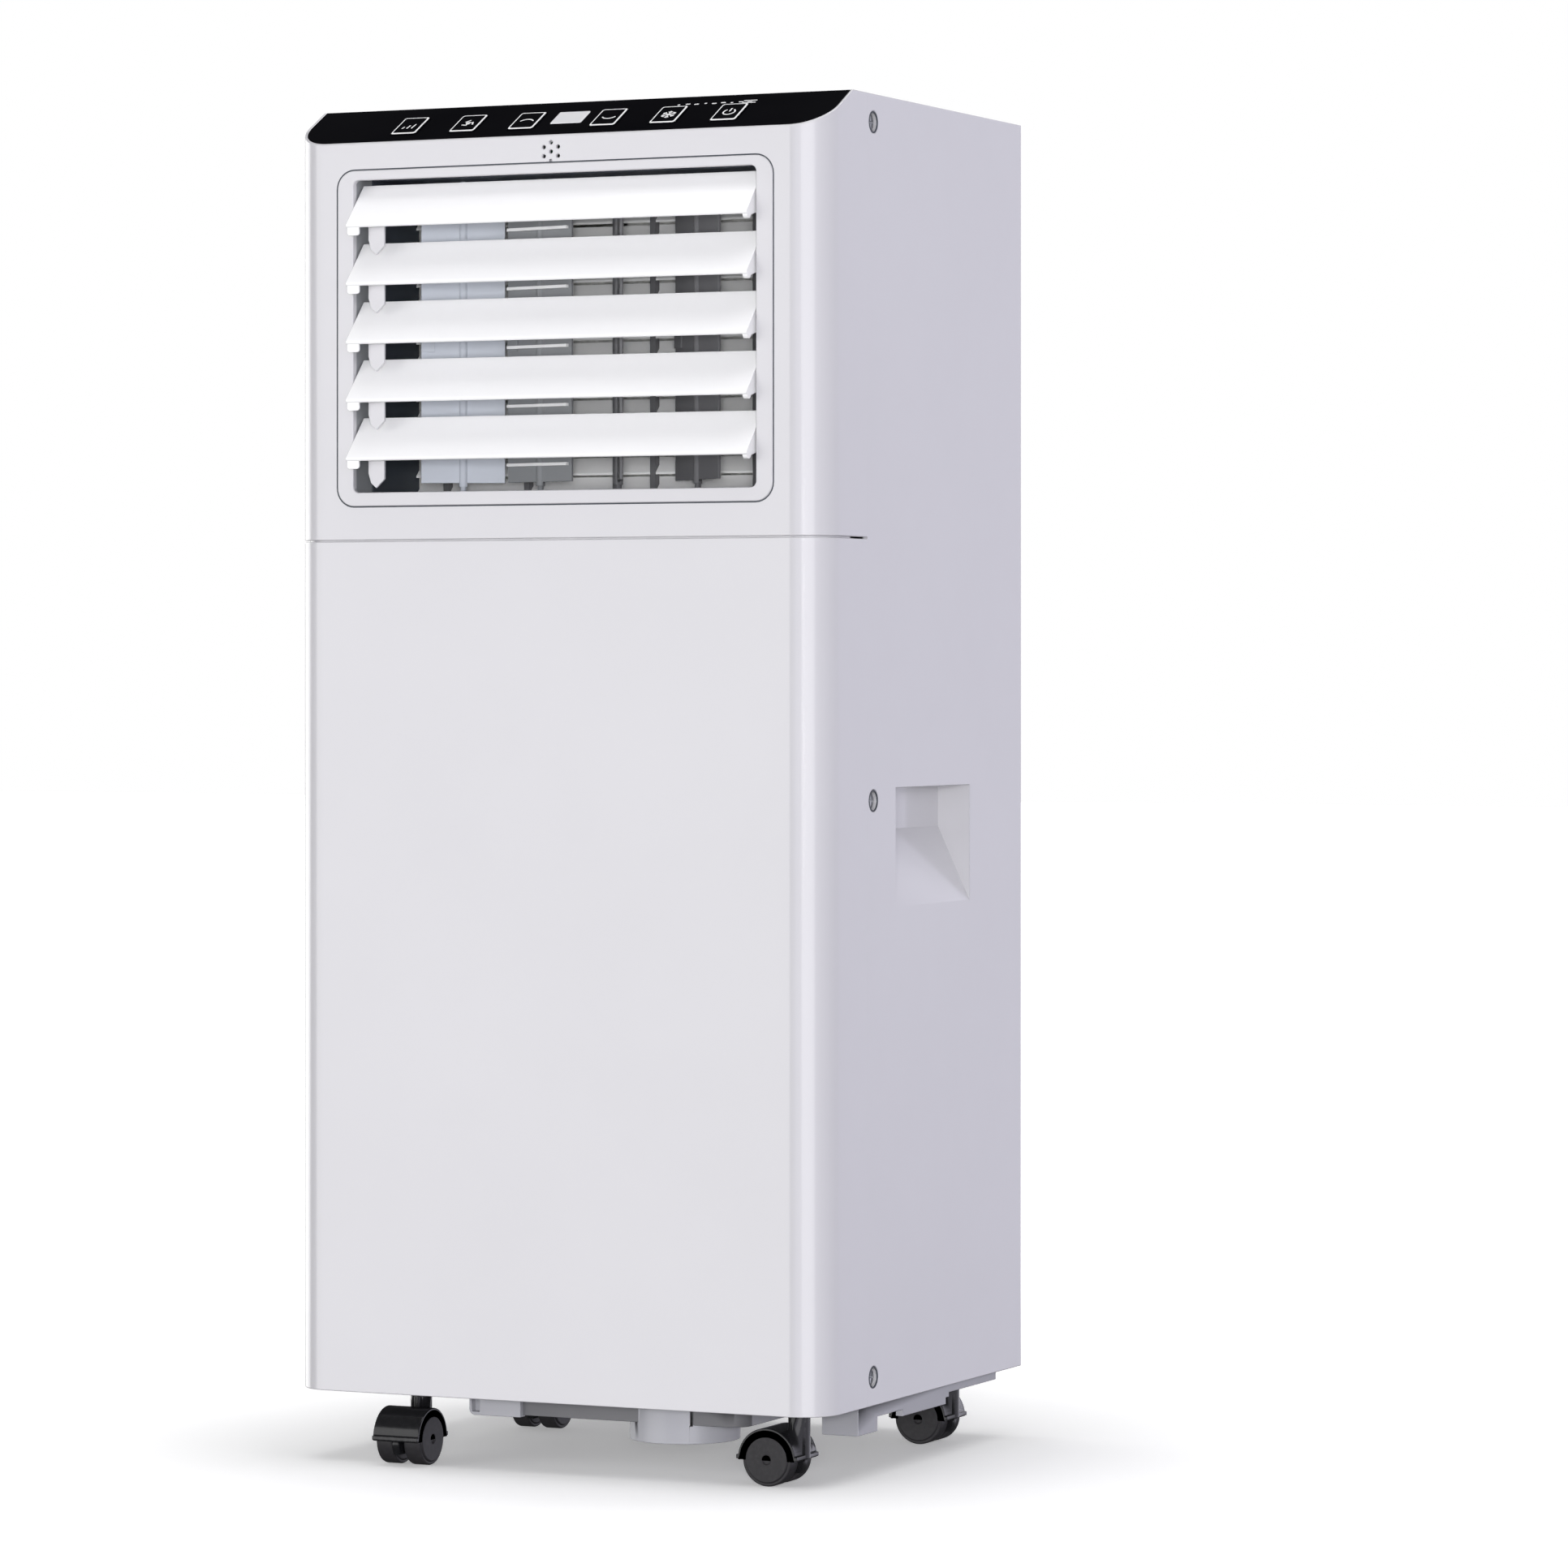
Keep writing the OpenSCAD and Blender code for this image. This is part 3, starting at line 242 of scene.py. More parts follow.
def floor_material():
    """Pale sweep whose glow is painted light, weak near the object and strong away from it, so the floor darkens
    towards the object.
    """
    g = Graph("studio_floor")
    far = g.nt.nodes.new("ShaderNodeVectorMath")
    far.operation = "LENGTH"
    g.link(g.at, far.inputs[0])
    soft = g.noise(1.3, 3.0)
    return g.set(
        Base_Color=g.mix(g.span(soft, 0.0, 1.0, 0.3, 0.7), (0.9, 0.9, 0.9), (0.92, 0.92, 0.92)),
        Roughness=0.75,
        Specular_IOR_Level=0.2,
        Emission_Color=(1.0, 1.0, 1.0),
        Emission_Strength=g.span(far.outputs["Value"], 0.26, 1.3, 0.2, 0.9),
    )


# plastics and rubber: light tone, dark tone, roughness, and what else sets each one apart
MOULDED = {
    "cabinet_white": ((0.6, 0.594, 0.614), (0.588, 0.582, 0.602), 0.32,
                      {"bump": 0.08, "coat": 1.0, "coat_rough": 0.1}),
    # louver_white is set brighter than the cabinet's white as painted light, lifting louvers that the blades above
    # them shade
    "louver_white": ((0.96, 0.96, 0.96), (0.95, 0.95, 0.95), 0.3, {"bump": 0.06, "coat": 0.3}),
    "panel_black": ((0.004, 0.004, 0.005), (0.002, 0.002, 0.003), 0.1, {"bump": 0.01, "shine": 0.01}),
    "window_pale": ((0.83, 0.83, 0.84), (0.74, 0.74, 0.76), 0.22, {"bump": 0.03, "coat": 0.6}),
    # duct_grey, vane_mid and vane_dark are lit and shaded copies of the vanes' one grey plastic. vane_mid and
    # vane_dark are painted shade, also used on shaded walls and posts in the outlet. duct_dark is painted shade
    # behind the louvers, on the guard's sleeve and in the screw wells, and is also the dark gasket's own colour
    "duct_grey": ((0.62, 0.655, 0.72), (0.57, 0.605, 0.67), 0.45, {"bump": 0.15}),
    "vane_mid": ((0.27, 0.28, 0.29), (0.23, 0.24, 0.25), 0.45, {"bump": 0.15}),
    "vane_dark": ((0.17, 0.17, 0.178), (0.14, 0.14, 0.148), 0.5, {"bump": 0.15}),
    "duct_dark": ((0.055, 0.065, 0.08), (0.04, 0.048, 0.06), 0.5, {"bump": 0.15}),
    "fan_black": ((0.035, 0.036, 0.04), (0.022, 0.023, 0.026), 0.42,
                  {"bump": 0.2, "wear": (0.12, 0.12, 0.125)}),
    "pan_grey": ((0.43, 0.432, 0.46), (0.39, 0.392, 0.42), 0.42, {"bump": 0.16, "coat": 0.1}),
    "compressor_black": ((0.022, 0.022, 0.024), (0.012, 0.012, 0.013), 0.3,
                         {"grain": 700.0, "bump": 0.25, "coat": 0.3, "wear": (0.16, 0.15, 0.15)}),
    "mount_rubber": ((0.03, 0.03, 0.03), (0.018, 0.018, 0.018), 0.75, {"grain": 1200.0, "bump": 0.4}),
    "caster_black": ((0.011, 0.011, 0.012), (0.007, 0.007, 0.008), 0.2,
                     {"bump": 0.05, "coat": 0.25, "wear": (0.035, 0.035, 0.037), "shine": 0.3}),
    "wheel_black": ((0.03, 0.029, 0.031), (0.022, 0.021, 0.023), 0.42,
                    {"grain": 1500.0, "bump": 0.25, "wear": (0.06, 0.058, 0.06), "shine": 0.25}),
    "print_white": ((0.9, 0.9, 0.9), (0.82, 0.82, 0.82), 0.35, {"grain": 5200.0, "bump": 0.05}),
}
MATS = {name: moulded(name, light, dark, rough, **more)
        for name, (light, dark, rough, more) in MOULDED.items()}
MATS.update(
    foam_white=foam(),
    filter_mesh=mesh_screen(),
    steel=steel(),
    fin_alu=finned(),
    copper=copper(),
    board_green=board(),
)
# each CAD node takes the material of its record slot
for name, ob in nodes.items():
    ob.data.materials.clear()
    ob.data.materials.append(MATS[node_slot[name]])


# ---------------------------------------------------------------- pieces

# moulded nodes, each with its edge radius in millimetres
SHELLS = {
    "front_panel_upper": 0.5, "front_panel_lower": 0.5, "side_panel_left": 0.5, "side_panel_right": 0.5,
    "rear_panel": 0.35, "top_cover": 0.5, "control_panel": 0.35, "display_window": 0.3,
    "upper_grille": 0.5, "lower_grille": 0.5, "exhaust_collar": 0.6, "base_pan": 0.4, "cord_gland": 0.5,
    "drain_plug": 0.5,
    "vane_1": 0.3, "vane_2": 0.3, "vane_3": 0.3, "vane_4": 0.3,
    "louver_1": 0.25, "louver_2": 0.25, "louver_3": 0.25, "louver_4": 0.25, "louver_5": 0.25,
    "louver_link": 0.3,
    "caster_fork_1": 0.5, "caster_fork_2": 0.5, "caster_fork_3": 0.5, "caster_fork_4": 0.5,
    "caster_wheels_1": 0.9, "caster_wheels_2": 0.9, "caster_wheels_3": 0.9, "caster_wheels_4": 0.9,
    "side_screws": 0.25,
}
# a node painted in another slot's darker tone, as painted shade
SHADED_SLOT = {"vane_3": "vane_dark"}
# faces inside a box, in millimetres, that take a second colour: the louvers' finger grips, and the base's skirt,
# whose darker grey is painted shade
GRIP_BOX = ((-103.3, -200, 0), (-93.7, 0, 900))
SKIRT_BOX = ((-52.5, -94.3, 25.4), (94.5, -80, 60))
SECOND_TONE_AND_SHADE = {"louver_%d" % k: ("cabinet_white", *GRIP_BOX) for k in range(1, 6)}
SECOND_TONE_AND_SHADE["base_pan"] = ("vane_dark", *SKIRT_BOX)

SHARP = 38.0          # degrees from which an edge isn't shaded smooth
SHARP_POCKET = 20.0   # the pockets' back and ramp meet at a shallow angle that still reads as an edge
ROUNDED_FROM = 28.0   # degrees from which an outside edge gets a radius
SAME_POINT, SLIVER, FLAT = 4e-6, 2e-6, 0.4   # metres, metres, degrees: what cleaning a CAD mesh joins

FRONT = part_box("front_panel_lower")[0].y
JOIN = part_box("side_panel_right")[0].y
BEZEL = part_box("outlet_bezel")


def put(bm, name, body, slot, stands_for=(), sharp=SHARP, extra=()):
    """Turns a bmesh into a finished piece that rides on a body."""
    me = bpy.data.meshes.new(name)
    bm.normal_update()
    bm.to_mesh(me)
    bm.free()
    ob = bpy.data.objects.new(name, me)
    scene.collection.objects.link(ob)
    for look in (slot, *extra):
        me.materials.append(MATS[look])
    me.polygons.foreach_set("use_smooth", [True] * len(me.polygons))
    me.set_sharp_from_angle(angle=math.radians(sharp))
    weighted = ob.modifiers.new("normals", "WEIGHTED_NORMAL")
    weighted.keep_sharp = True
    weighted.weight = 80
    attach(ob, body)
    if stands_for:
        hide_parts(*stands_for)
    return ob


def from_cad(node):
    """The CAD node's mesh, welded and with its flat faces joined."""
    bm = bmesh.new()
    bm.from_mesh(nodes[node].data)
    bmesh.ops.remove_doubles(bm, verts=bm.verts, dist=SAME_POINT)
    bmesh.ops.dissolve_degenerate(bm, edges=bm.edges, dist=SLIVER)
    bmesh.ops.dissolve_limit(bm, angle_limit=math.radians(FLAT), verts=bm.verts, edges=bm.edges)
    return bm


def soften(bm, width, segments=2, where=None):
    """Rounds the outside edges by a moulding radius."""
    picked = []
    for e in bm.edges:
        if len(e.link_faces) != 2 or not e.is_convex:
            continue
        if e.calc_face_angle(0.0) < math.radians(ROUNDED_FROM):
            continue
        if where is None or where(e):
            picked.append(e)
    bmesh.ops.bevel(bm, geom=picked, offset=width, offset_type="OFFSET", segments=segments,
                    profile=0.5, affect="EDGES", clamp_overlap=False)


def rounded(node, width, where=None):
    """Replaces a CAD node by its own mesh with rounded edges."""
    bm = from_cad(node)
    soften(bm, width * MM, where=where)
    extra = ()
    if node in SECOND_TONE_AND_SHADE:
        slot, lo, hi = SECOND_TONE_AND_SHADE[node]
        extra = (slot,)
        # faces inside the box take the second slot: the grips' own tone, and painted shade on the skirt
        for f in bm.faces:
            if all(lo[i] * MM < v.co[i] < hi[i] * MM for v in f.verts for i in range(3)):
                f.material_index = 1
    sharp = SHARP_POCKET if node.startswith("side_panel") else SHARP
    look = SHADED_SLOT.get(node, node_slot[node])
    put(bm, node + "_moulded", node_body[node], look, (node,), sharp, extra)


def moulding_edge(e):
    """False on the butt joint between front and side shells and round the outlet cut-out."""
    if all(abs(v.co.y - JOIN) < 0.2 * MM for v in e.verts):
        return False
    return not all(
        v.co.y < FRONT + 0.1 * MM and BEZEL[0].z < v.co.z < BEZEL[1].z and abs(v.co.x) < BEZEL[1].x
        for v in e.verts)


def butts(node):
    """True for the shells that meet in butt joints."""
    return node.startswith(("front", "side_panel"))


for node, width in SHELLS.items():
    rounded(node, width, where=moulding_edge if butts(node) else None)

# ---------------------------------------------------------------- outlet

# bezel: white frame and ceiling, with painted shade behind the lip: grey on the cheeks, dark behind the louvers
BEZEL_RADIUS, BEZEL_LIP = 0.7, 3.0
bm = from_cad("outlet_bezel")
soften(bm, BEZEL_RADIUS * MM)
bmesh.ops.bisect_plane(bm, geom=bm.verts[:] + bm.edges[:] + bm.faces[:], dist=1e-6,
                       plane_co=(0, FRONT + BEZEL_LIP * MM, 0), plane_no=(0, 1, 0))
# faces behind the lip take painted shade: grey on the side cheeks, dark on the rest; the ceiling keeps the white
for f in bm.faces:
    behind = all(v.co.y > FRONT + (BEZEL_LIP - 0.05) * MM for v in f.verts)
    if behind and f.normal.z > -0.5:
        f.material_index = 1 if abs(f.normal.x) > 0.5 else 2
put(bm, "outlet_bezel_moulded", "housing", "cabinet_white", ("outlet_bezel",),
    extra=("vane_mid", "duct_dark"))

# guard, one moulded piece: the sleeve dark and the upright posts grey as painted shade, the slanted slats pale
GUARD_RADIUS, SLAT_DEPTH, POST_DEPTH, SLEEVE_WALL, POST_WIDE = 0.2, 8.5, 9.1, 3.1, 3.4
bm = from_cad("outlet_guard")
soften(bm, GUARD_RADIUS * MM, 1)
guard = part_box("outlet_guard")


def in_guard(f, depth):
    """True for a face inside the sleeve, at most this many millimetres from the guard's back."""
    front = guard[1].y - depth * MM
    return all(v.co.y > front and abs(v.co.x) < guard[1].x - SLEEVE_WALL * MM for v in f.verts)


# the slats take the pale louver white; the posts' grey and the sleeve's dark are painted shade
for f in bm.faces:
    spread = max(v.co.x for v in f.verts) - min(v.co.x for v in f.verts)
    if in_guard(f, SLAT_DEPTH + 0.05):
        f.material_index = 1
    elif spread < POST_WIDE * MM and in_guard(f, POST_DEPTH):
        f.material_index = 2
put(bm, "outlet_guard_moulded", "housing", "duct_dark", ("outlet_guard",),
    extra=("louver_white", "vane_dark"))

# ---------------------------------------------------------------- key pad

press_axis = next(j["axis"] for j in frame["joints"] if j["name"] == "key_power_press")
TILT = Matrix.Rotation(math.atan2(press_axis[1], -press_axis[2]), 4, "X")


def slope_top(node):
    """Middle and size of a key's upper face, in the tilted frame of the panel."""
    local = [TILT.inverted() @ v.co for v in nodes[node].data.vertices]
    top = max(p.z for p in local)
    face = [p for p in local if p.z > top - 0.05 * MM]
    lo = Vector([min(p[i] for p in face) for i in range(3)])
    hi = Vector([max(p[i] for p in face) for i in range(3)])
    return (lo + hi) / 2, hi - lo


def prism(bm, loop, low, high, place, mat=0, hole=None):
    """Closed flat plate from an outline in millimetres, or a ring when a hole outline is given."""
    def row(points, z):
        return [bm.verts.new(place @ (Vector((x, y, z)) * MM)) for x, y in points]

    outer = [row(loop, z) for z in (low, high)]
    n = len(loop)
    made = [bm.faces.new((outer[0][i], outer[0][(i + 1) % n], outer[1][(i + 1) % n], outer[1][i]))
            for i in range(n)]
    if hole is None:
        made += [bm.faces.new(outer[1]), bm.faces.new(outer[0][::-1])]
    else:
        inner = [row(hole, z) for z in (low, high)]
        for i in range(n):
            j = (i + 1) % n
            made.append(bm.faces.new((inner[0][j], inner[0][i], inner[1][i], inner[1][j])))
            made.append(bm.faces.new((outer[1][i], outer[1][j], inner[1][j], inner[1][i])))
            made.append(bm.faces.new((outer[0][j], outer[0][i], inner[0][i], inner[0][j])))
    for f in made:
        f.material_index = mat


def round_rect(w, h, r, steps=5, shift=(0.0, 0.0)):
    """Outline of a rectangle with rounded corners, in millimetres."""
    points = []
    for k, (sx, sy) in enumerate(((1, -1), (1, 1), (-1, 1), (-1, -1))):
        for i in range(steps + 1):
            a = -QUARTER + k * QUARTER + i * QUARTER / steps
            x, y = sx * (w / 2 - r) + r * math.cos(a), sy * (h / 2 - r) + r * math.sin(a)
            points.append((shift[0] + x, shift[1] + y))
    return points


def bow(radius, start, end, steps=14, at=(0.0, 0.0)):
    """Points along an arc, from one angle in degrees to another."""
    turn = [math.radians(start + (end - start) * i / steps) for i in range(steps + 1)]
    return [(at[0] + radius * math.cos(a), at[1] + radius * math.sin(a)) for a in turn]


def outline(box, grow, r):
    """Rounded rectangle round a box seen from the front, in millimetres."""
    size = (box[1] - box[0]) / MM
    mid = (box[0] + box[1]) / 2 / MM
    return round_rect(size.x + 2 * grow, size.z + 2 * grow, r + grow, 8, (mid.x, mid.z))


def stroke(bm, path, width, low, high, place, mat=0):
    """Flat line of even width along a path, mitred at its corners."""
    sides = ([], [])
    for i, p in enumerate(path):
        before = Vector(p) - Vector(path[i - 1]) if i else Vector(path[1]) - Vector(p)
        after = Vector(path[i + 1]) - Vector(p) if i < len(path) - 1 else before
        d = (before.normalized() + after.normalized()).normalized()
        reach = width / 2 / max(0.5, d.dot(after.normalized()))
        across = Vector((-d.y, d.x)) * reach
        sides[0].append(tuple(Vector(p) + across))
        sides[1].append(tuple(Vector(p) - across))
    prism(bm, sides[1] + sides[0][::-1], low, high, place, mat)


def icon_bars():
    """This and each icon after it: lines round the middle of a key, in millimetres."""
    foot = -3.2
    return [[(x, foot), (x + 0.6, foot + 2.2 + 1.3 * k)] for k, x in enumerate((-3.3, -0.6, 2.1))]


def icon_fan():
    blades = []
    for a in (math.radians(90 + 120 * k) for k in range(3)):
        tip = (3.5 * math.cos(a), 3.5 * math.sin(a))
        side = (2.4 * math.cos(a + 0.9), 2.4 * math.sin(a + 0.9))
        blades.append([(0.0, 0.0), side, tip])
    return blades + [bow(1.0, 0, 330)]


def icon_up():
    return [bow(4.2, 30, 150, at=(0, -2.6))]


def icon_down():
    return [bow(4.2, 210, 330, at=(0, 2.6))]


def icon_flake():
    lines = []
    for k in range(3):
        c, s = math.cos(k * math.pi / 3 + QUARTER), math.sin(k * math.pi / 3 + QUARTER)
        lines.append([(-3.9 * c, -3.9 * s), (3.9 * c, 3.9 * s)])
        for end in (-1, 1):
            fork = (end * 2.2 * c, end * 2.2 * s)
            tip = [(fork[0] + 1.1 * (end * c - side * s), fork[1] + 1.1 * (end * s + side * c))
                   for side in (-1, 1)]
            lines.append([tip[0], fork, tip[1]])
    return lines


def icon_power():
    return [bow(3.1, 125, 415, 22), [(0.0, 0.6), (0.0, 4.2)]]


ICONS = {"key_timer": icon_bars, "key_fan_speed": icon_fan, "key_up": icon_up, "key_down": icon_down,
         "key_mode": icon_flake, "key_power": icon_power}
PRINT = 0.06                            # how far the ink stands proud
LINE = 0.75                             # width of an icon's lines
KEY_RADIUS = 0.3
FRAME_OUT, FRAME_IN = 0.9, (2.5, 2.9)   # how much smaller than the key its printed frame is
# the heavier lower and right edges are a painted highlight of the keys' bevels catching light
HIGHLIGHT_SHIFT = (-0.25, 0.45)             # makes the frame heavier on its lower and right edges
for key, icon in ICONS.items():
    middle, size = slope_top(key)
    place = TILT @ Matrix.Translation(middle)
    w, h = size.x / MM, size.y / MM
    bm = from_cad(key)
    soften(bm, KEY_RADIUS * MM)
    # printed white frame round each key: print, with a painted highlight on its heavier lower and right edges
    prism(bm, round_rect(w - FRAME_OUT, h - FRAME_OUT, 1.4), 0.0, PRINT, place, 1,
          round_rect(w - FRAME_IN[0], h - FRAME_IN[1], 1.0, shift=HIGHLIGHT_SHIFT))
    for line in icon():
        stroke(bm, line, LINE, 0.0, PRINT, place, 1)
    put(bm, key + "_cap", node_body[key], "panel_black", (key,), extra=("print_white",))

# printed indicator marks above the two right-hand keys: nine dashes, then two longer ones
DASHES, DASH_X, DASH_PITCH = 9, 58.0, 4.9
LONG_DASH_X = 97.0
SUNK = -0.02                            # the ink starts just under the panel's face
ABOVE_KEY = 2.2
panel_face = slope_top("control_panel")[0].z
key_mid, key_size = slope_top("key_power")
row_y = key_mid.y + key_size.y / 2 + ABOVE_KEY * MM
place = TILT @ Matrix.Translation(Vector((0.0, row_y, panel_face)))
bm = bmesh.new()
for k in range(DASHES):
    dash = round_rect(2.6 if k % 3 else 1.4, 1.0, 0.4, 3, shift=(DASH_X + DASH_PITCH * k, 0.5 * (k % 2)))
    prism(bm, dash, SUNK, PRINT, place)
for k in range(2):
    dash = round_rect(7.5, 0.7, 0.3, 3, shift=(LONG_DASH_X, 1.8 - 2.4 * k))
    prism(bm, dash, SUNK, PRINT, place)
put(bm, "indicator_marks", "housing", "print_white")

# ---------------------------------------------------------------- trim

# dark gasket line round the outlet bezel's front frame
GASKET_GAP, GASKET_OUT, GASKET_CORNER = 0.03, 0.62, 9.5
GASKET_BACK, GASKET_FRONT = -1.2, 0.05
bm = bmesh.new()
upright = Matrix.Translation(Vector((0.0, FRONT, 0.0))) @ Matrix.Rotation(QUARTER, 4, "X")
rim = [v.co for v in nodes["outlet_bezel"].data.vertices if v.co.y < FRONT]
rim = [Vector([pick(p[i] for p in rim) for i in range(3)]) for pick in (min, max)]
prism(bm, outline(rim, GASKET_OUT, GASKET_CORNER), GASKET_BACK, GASKET_FRONT, upright,
      hole=outline(rim, GASKET_GAP, GASKET_CORNER))
put(bm, "bezel_gasket", "housing", "duct_dark")

# pale ribs right through the second vane, in the vane's own frame; their pale white is painted light on ribs of
# the vane's grey plastic
RIBS, RIB_FIRST, RIB_PITCH, RIB_HEIGHT = 5, 17.0, 30.0, 1.5
RIB_REACH, RIB_SIDES = 19.5, (-3.4, -0.7)
pivot = next(Vector(j["pos_m"]) for j in frame["joints"] if j["name"] == "vane_2_turn")
arm = max((v.co - pivot for v in nodes["vane_2"].data.vertices), key=lambda d: d.x).xy.normalized()
vane_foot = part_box("vane_2")[0].z / MM
bm = bmesh.new()
turn = (Matrix.Translation(Vector((pivot.x, pivot.y, 0.0)))
        @ Matrix.Rotation(math.atan2(arm.y, arm.x), 4, "Z"))
back, front = RIB_SIDES
for k in range(RIBS):
    z = vane_foot + RIB_FIRST + RIB_PITCH * k
    bar = [(-RIB_REACH, back), (RIB_REACH, back), (RIB_REACH, front), (-RIB_REACH, front)]
    prism(bm, bar, z, z + RIB_HEIGHT, turn)
put(bm, "vane_2_ribs", "vane_2", "louver_white")

# dark rings lining the screw wells: painted shade in the recess round each screw
WELL_SHADE_IN, WELL_SHADE_OUT = 4.75, 5.45      # radii
WELL_SHADE_FROM, WELL_SHADE_TO = 1.4, 1.96      # outwards from the screw's face
NEXT_SCREW, SCREW_REACH = 20, 8         # heights further apart than the first are two screws
bm = bmesh.new()
for s in (-1, 1):
    points = [v.co for v in nodes["side_screws"].data.vertices if v.co.x * s > 0]
    groups = []
    for z in sorted({round(p.z / MM) for p in points}):
        if not groups or z - groups[-1][-1] > NEXT_SCREW:
            groups.append([z])
        else:
            groups[-1].append(z)
    for g in groups:
        z = (g[0] + g[-1]) / 2
        near = [p for p in points if abs(p.z / MM - z) < SCREW_REACH]
        y = (min(p.y for p in near) + max(p.y for p in near)) / 2
        z = (min(p.z for p in near) + max(p.z for p in near)) / 2
        face = max(abs(p.x) for p in near)
        place = Matrix.Translation(Vector((s * face, y, z))) @ Matrix.Rotation(s * QUARTER, 4, "Y")
        # ten degrees short of a full ring, which prism closes with one more side
        prism(bm, bow(WELL_SHADE_OUT, 0, 350, 35), WELL_SHADE_FROM, WELL_SHADE_TO, place,
              hole=bow(WELL_SHADE_IN, 0, 350, 35))
put(bm, "screw_well_shade", "housing", "duct_dark")

# ---------------------------------------------------------------- filters

FILTER_RADIUS = 0.2
WIRE_PITCH, WIRE_HALF, WIRE_INSET = 1.6, 0.14, 1.4
WIRE_DEPTH = (0.55, 0.25)               # the wires' faces, from the filter's back
for node in ("upper_filter", "lower_filter"):
    lo, hi = (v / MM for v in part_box(node))
    bm = from_cad(node)
    soften(bm, FILTER_RADIUS * MM, 1)
    for axis in (0, 2):
        other = 2 - axis
        count = int((hi[axis] - lo[axis] - 2 * WIRE_INSET) / WIRE_PITCH)
        for k in range(count + 1):
            middle = lo[axis] + WIRE_INSET + k * WIRE_PITCH
            a = [0.0, hi.y - WIRE_DEPTH[0], 0.0]
            b = [0.0, hi.y - WIRE_DEPTH[1], 0.0]
            a[axis], b[axis] = middle - WIRE_HALF, middle + WIRE_HALF
            a[other], b[other] = lo[other] + WIRE_INSET, hi[other] - WIRE_INSET
            wire = bmesh.ops.create_cube(bm, size=1.0)["verts"]
            for v in wire:
                v.co = Vector([(a[i] + b[i]) / 2 + v.co[i] * (b[i] - a[i]) for i in range(3)]) * MM
    put(bm, node + "_screen", node_body[node], node_slot[node], (node,))


# ---------------------------------------------------------------- stage, light, camera

def area(name, at, look, size, power):
    """Rectangular light at a place, in metres, turned towards another; power in watts."""
    data = bpy.data.lights.new(name, "AREA")
    data.shape = "RECTANGLE"
    data.size, data.size_y = size
    data.energy = power
    ob = bpy.data.objects.new(name, data)
    scene.collection.objects.link(ob)
    ob.location = at
    ob.rotation_euler = (Vector(look) - Vector(at)).to_track_quat("-Z", "Y").to_euler()
    return ob


FLOOR_HALF, FLOOR_CELLS = 14.0, 8
bm = bmesh.new()
bmesh.ops.create_grid(bm, x_segments=FLOOR_CELLS, y_segments=FLOOR_CELLS, size=FLOOR_HALF)
me = bpy.data.meshes.new("floor")
bm.to_mesh(me)
bm.free()
floor = bpy.data.objects.new("floor", me)
scene.collection.objects.link(floor)
me.materials.append(floor_material())
# the floor only catches shadows: the surroundings below it stand in for its bounce
floor.visible_diffuse = floor.visible_glossy = floor.visible_shadow = False

area("top_softbox", at=(0.2, 0.1, 2.6), look=(0, 0, 0), size=(2.4, 2.4), power=36.0)
area("left_softbox", at=(-1.47, -2.02, 0.4), look=(0, -0.1, 0.4), size=(2.1, 2.4), power=31.0)
area("edge_softbox", at=(-2.3, 0.5, 0.7), look=(0, 0, 0.4), size=(1.4, 2.0), power=14.0)
# a card that only shows as a reflection, and a fill that doesn't
card = area("right_card", at=(2.05, -2.7, 0.4), look=(0.1, -0.1, 0.4), size=(2.2, 2.4), power=28.0)
card.visible_diffuse = False
fill = area("front_fill", at=(1.45, -3.0, 0.42), look=(0, -0.1, 0.45), size=(0.5, 0.5), power=59.0)
fill.visible_glossy = False

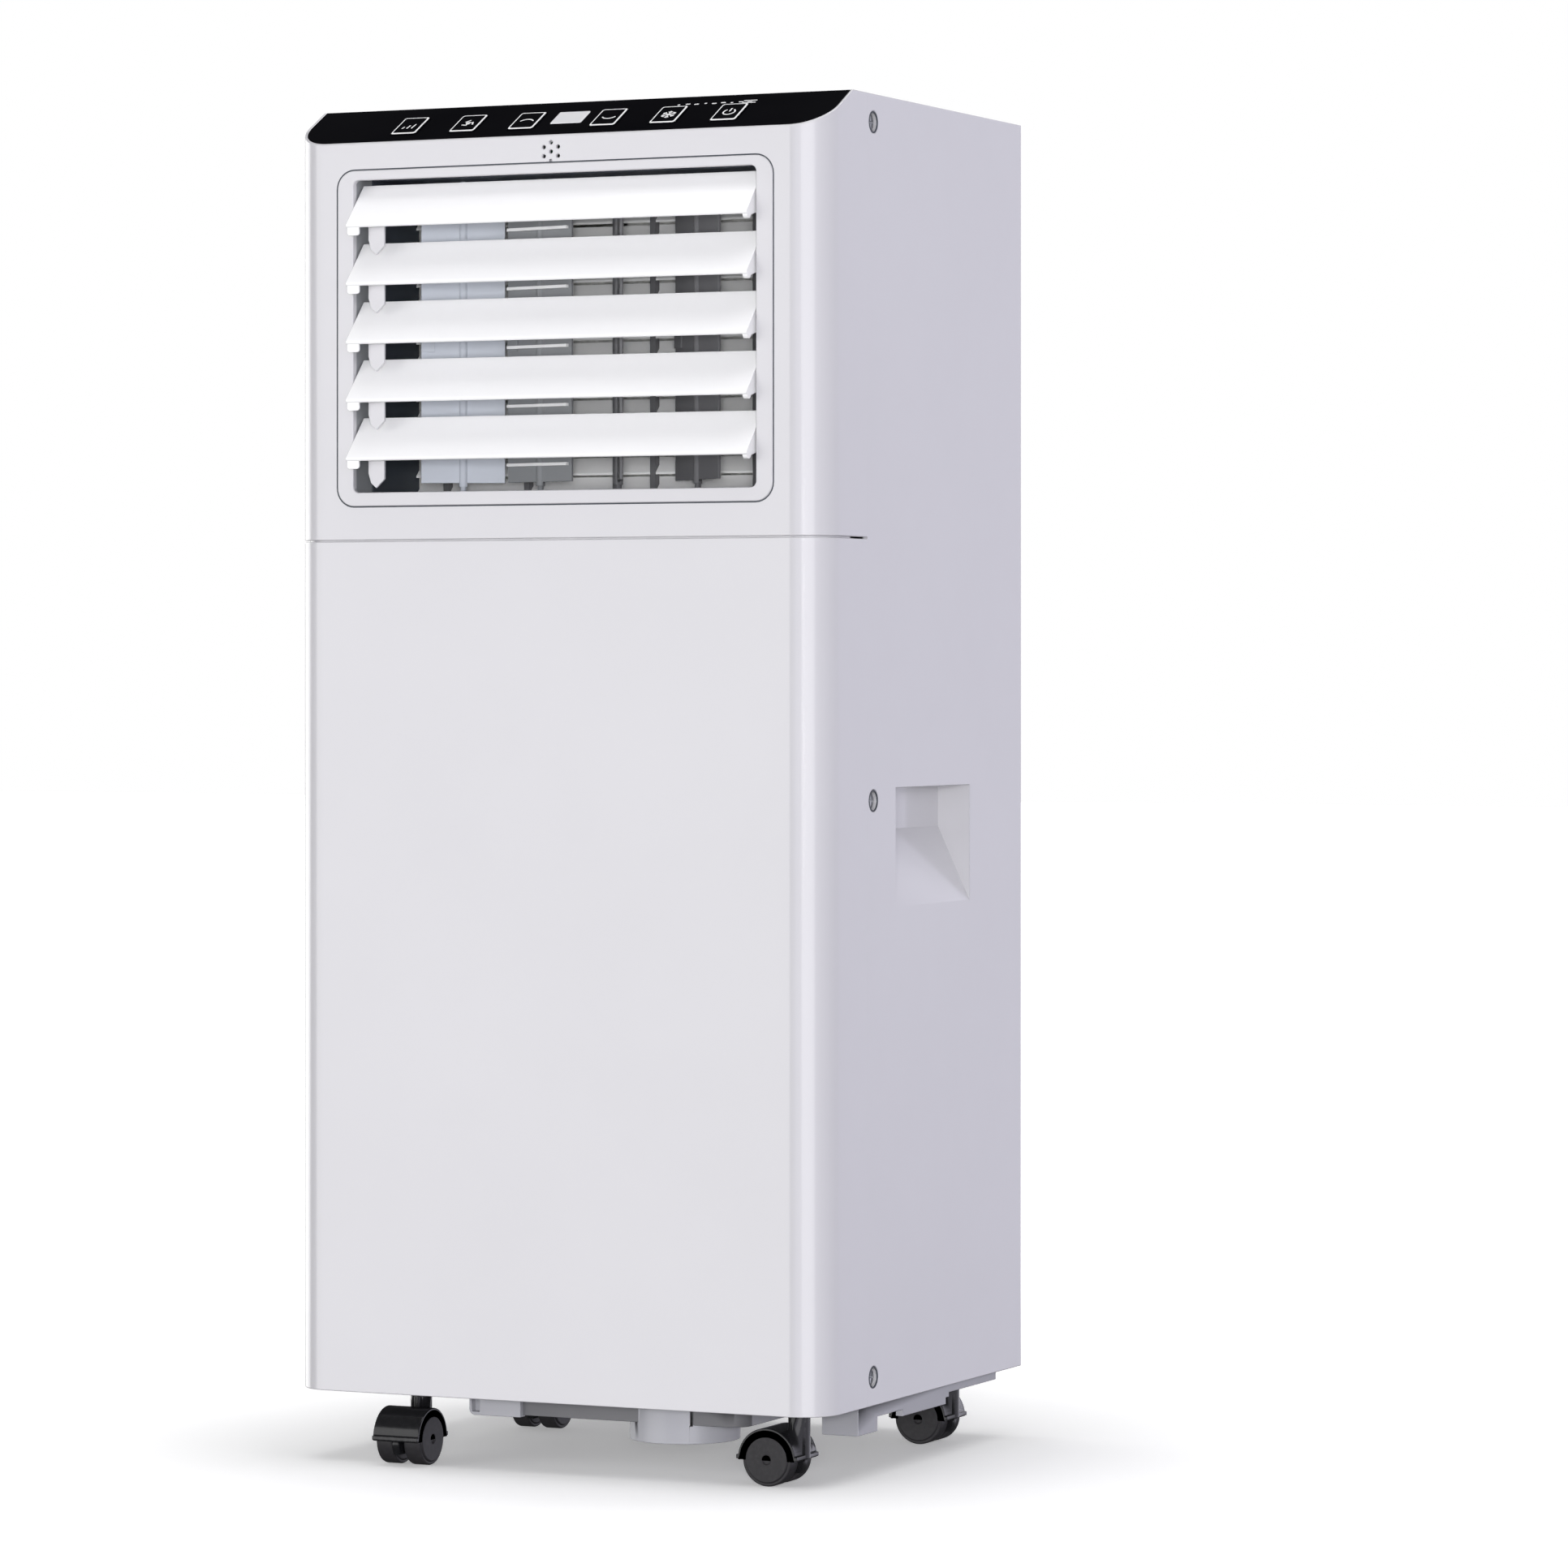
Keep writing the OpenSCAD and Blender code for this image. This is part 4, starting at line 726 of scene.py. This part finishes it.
world = bpy.data.worlds.new("studio")
scene.world = world
world.use_nodes = True
wt = world.node_tree
background = wt.nodes["Background"]
coord = wt.nodes.new("ShaderNodeTexCoord")
split = wt.nodes.new("ShaderNodeSeparateXYZ")
wt.links.new(coord.outputs["Generated"], split.inputs[0])


def sweep(axis, start, end, a, b):
    """Light colour that changes smoothly along one direction of the surroundings."""
    reach = wt.nodes.new("ShaderNodeMapRange")
    reach.interpolation_type = "SMOOTHSTEP"
    wt.links.new(split.outputs[axis], reach.inputs["Value"])
    reach.inputs["From Min"].default_value = start
    reach.inputs["From Max"].default_value = end
    mixed = wt.nodes.new("ShaderNodeMix")
    mixed.data_type = "RGBA"
    wt.links.new(reach.outputs[0], mixed.inputs[MIX_FACTOR])
    for index, value in ((MIX_A, a), (MIX_B, b)):
        if isinstance(value, tuple):
            mixed.inputs[index].default_value = (*value, 1.0)
        else:
            wt.links.new(value, mixed.inputs[index])
    return mixed.outputs[MIX_RESULT]


FRONT_SKY = (0.02, 0.02, 0.02)
BACK_SKY = (1.0, 1.0, 1.0)
RIGHT_SKY = (1.08, 1.06, 1.22)
TOP_SKY = (0.1, 0.1, 0.1)
LOW_SKY = (0.05, 0.05, 0.05)
sky = sweep("Y", -0.2, 0.3, FRONT_SKY, BACK_SKY)
sky = sweep("X", -0.2, 0.1, sky, RIGHT_SKY)
sky = sweep("Z", 0.25, 0.5, sky, TOP_SKY)
sky = sweep("Z", -0.3, -0.08, LOW_SKY, sky)
wt.links.new(sky, background.inputs["Color"])
background.inputs["Strength"].default_value = 1.0
scene.view_settings.view_transform = "Standard"

CAMERA_AT = (1.3644, -2.7682, 0.4031)
CAMERA_AZIMUTH = 25.02                  # degrees to the object's right, level
CAMERA_LENS, CAMERA_SENSOR = 136.5, 36.0
CAMERA_SHIFT = -0.0724                  # the photo's framing
camera = bpy.data.cameras.new("camera")
camera.sensor_width = CAMERA_SENSOR
camera.lens = CAMERA_LENS
camera.shift_y = CAMERA_SHIFT
camera.clip_end = 60.0
eye = bpy.data.objects.new("camera", camera)
scene.collection.objects.link(eye)
eye.location = CAMERA_AT
eye.rotation_euler = (QUARTER, 0.0, math.radians(CAMERA_AZIMUTH))
scene.camera = eye
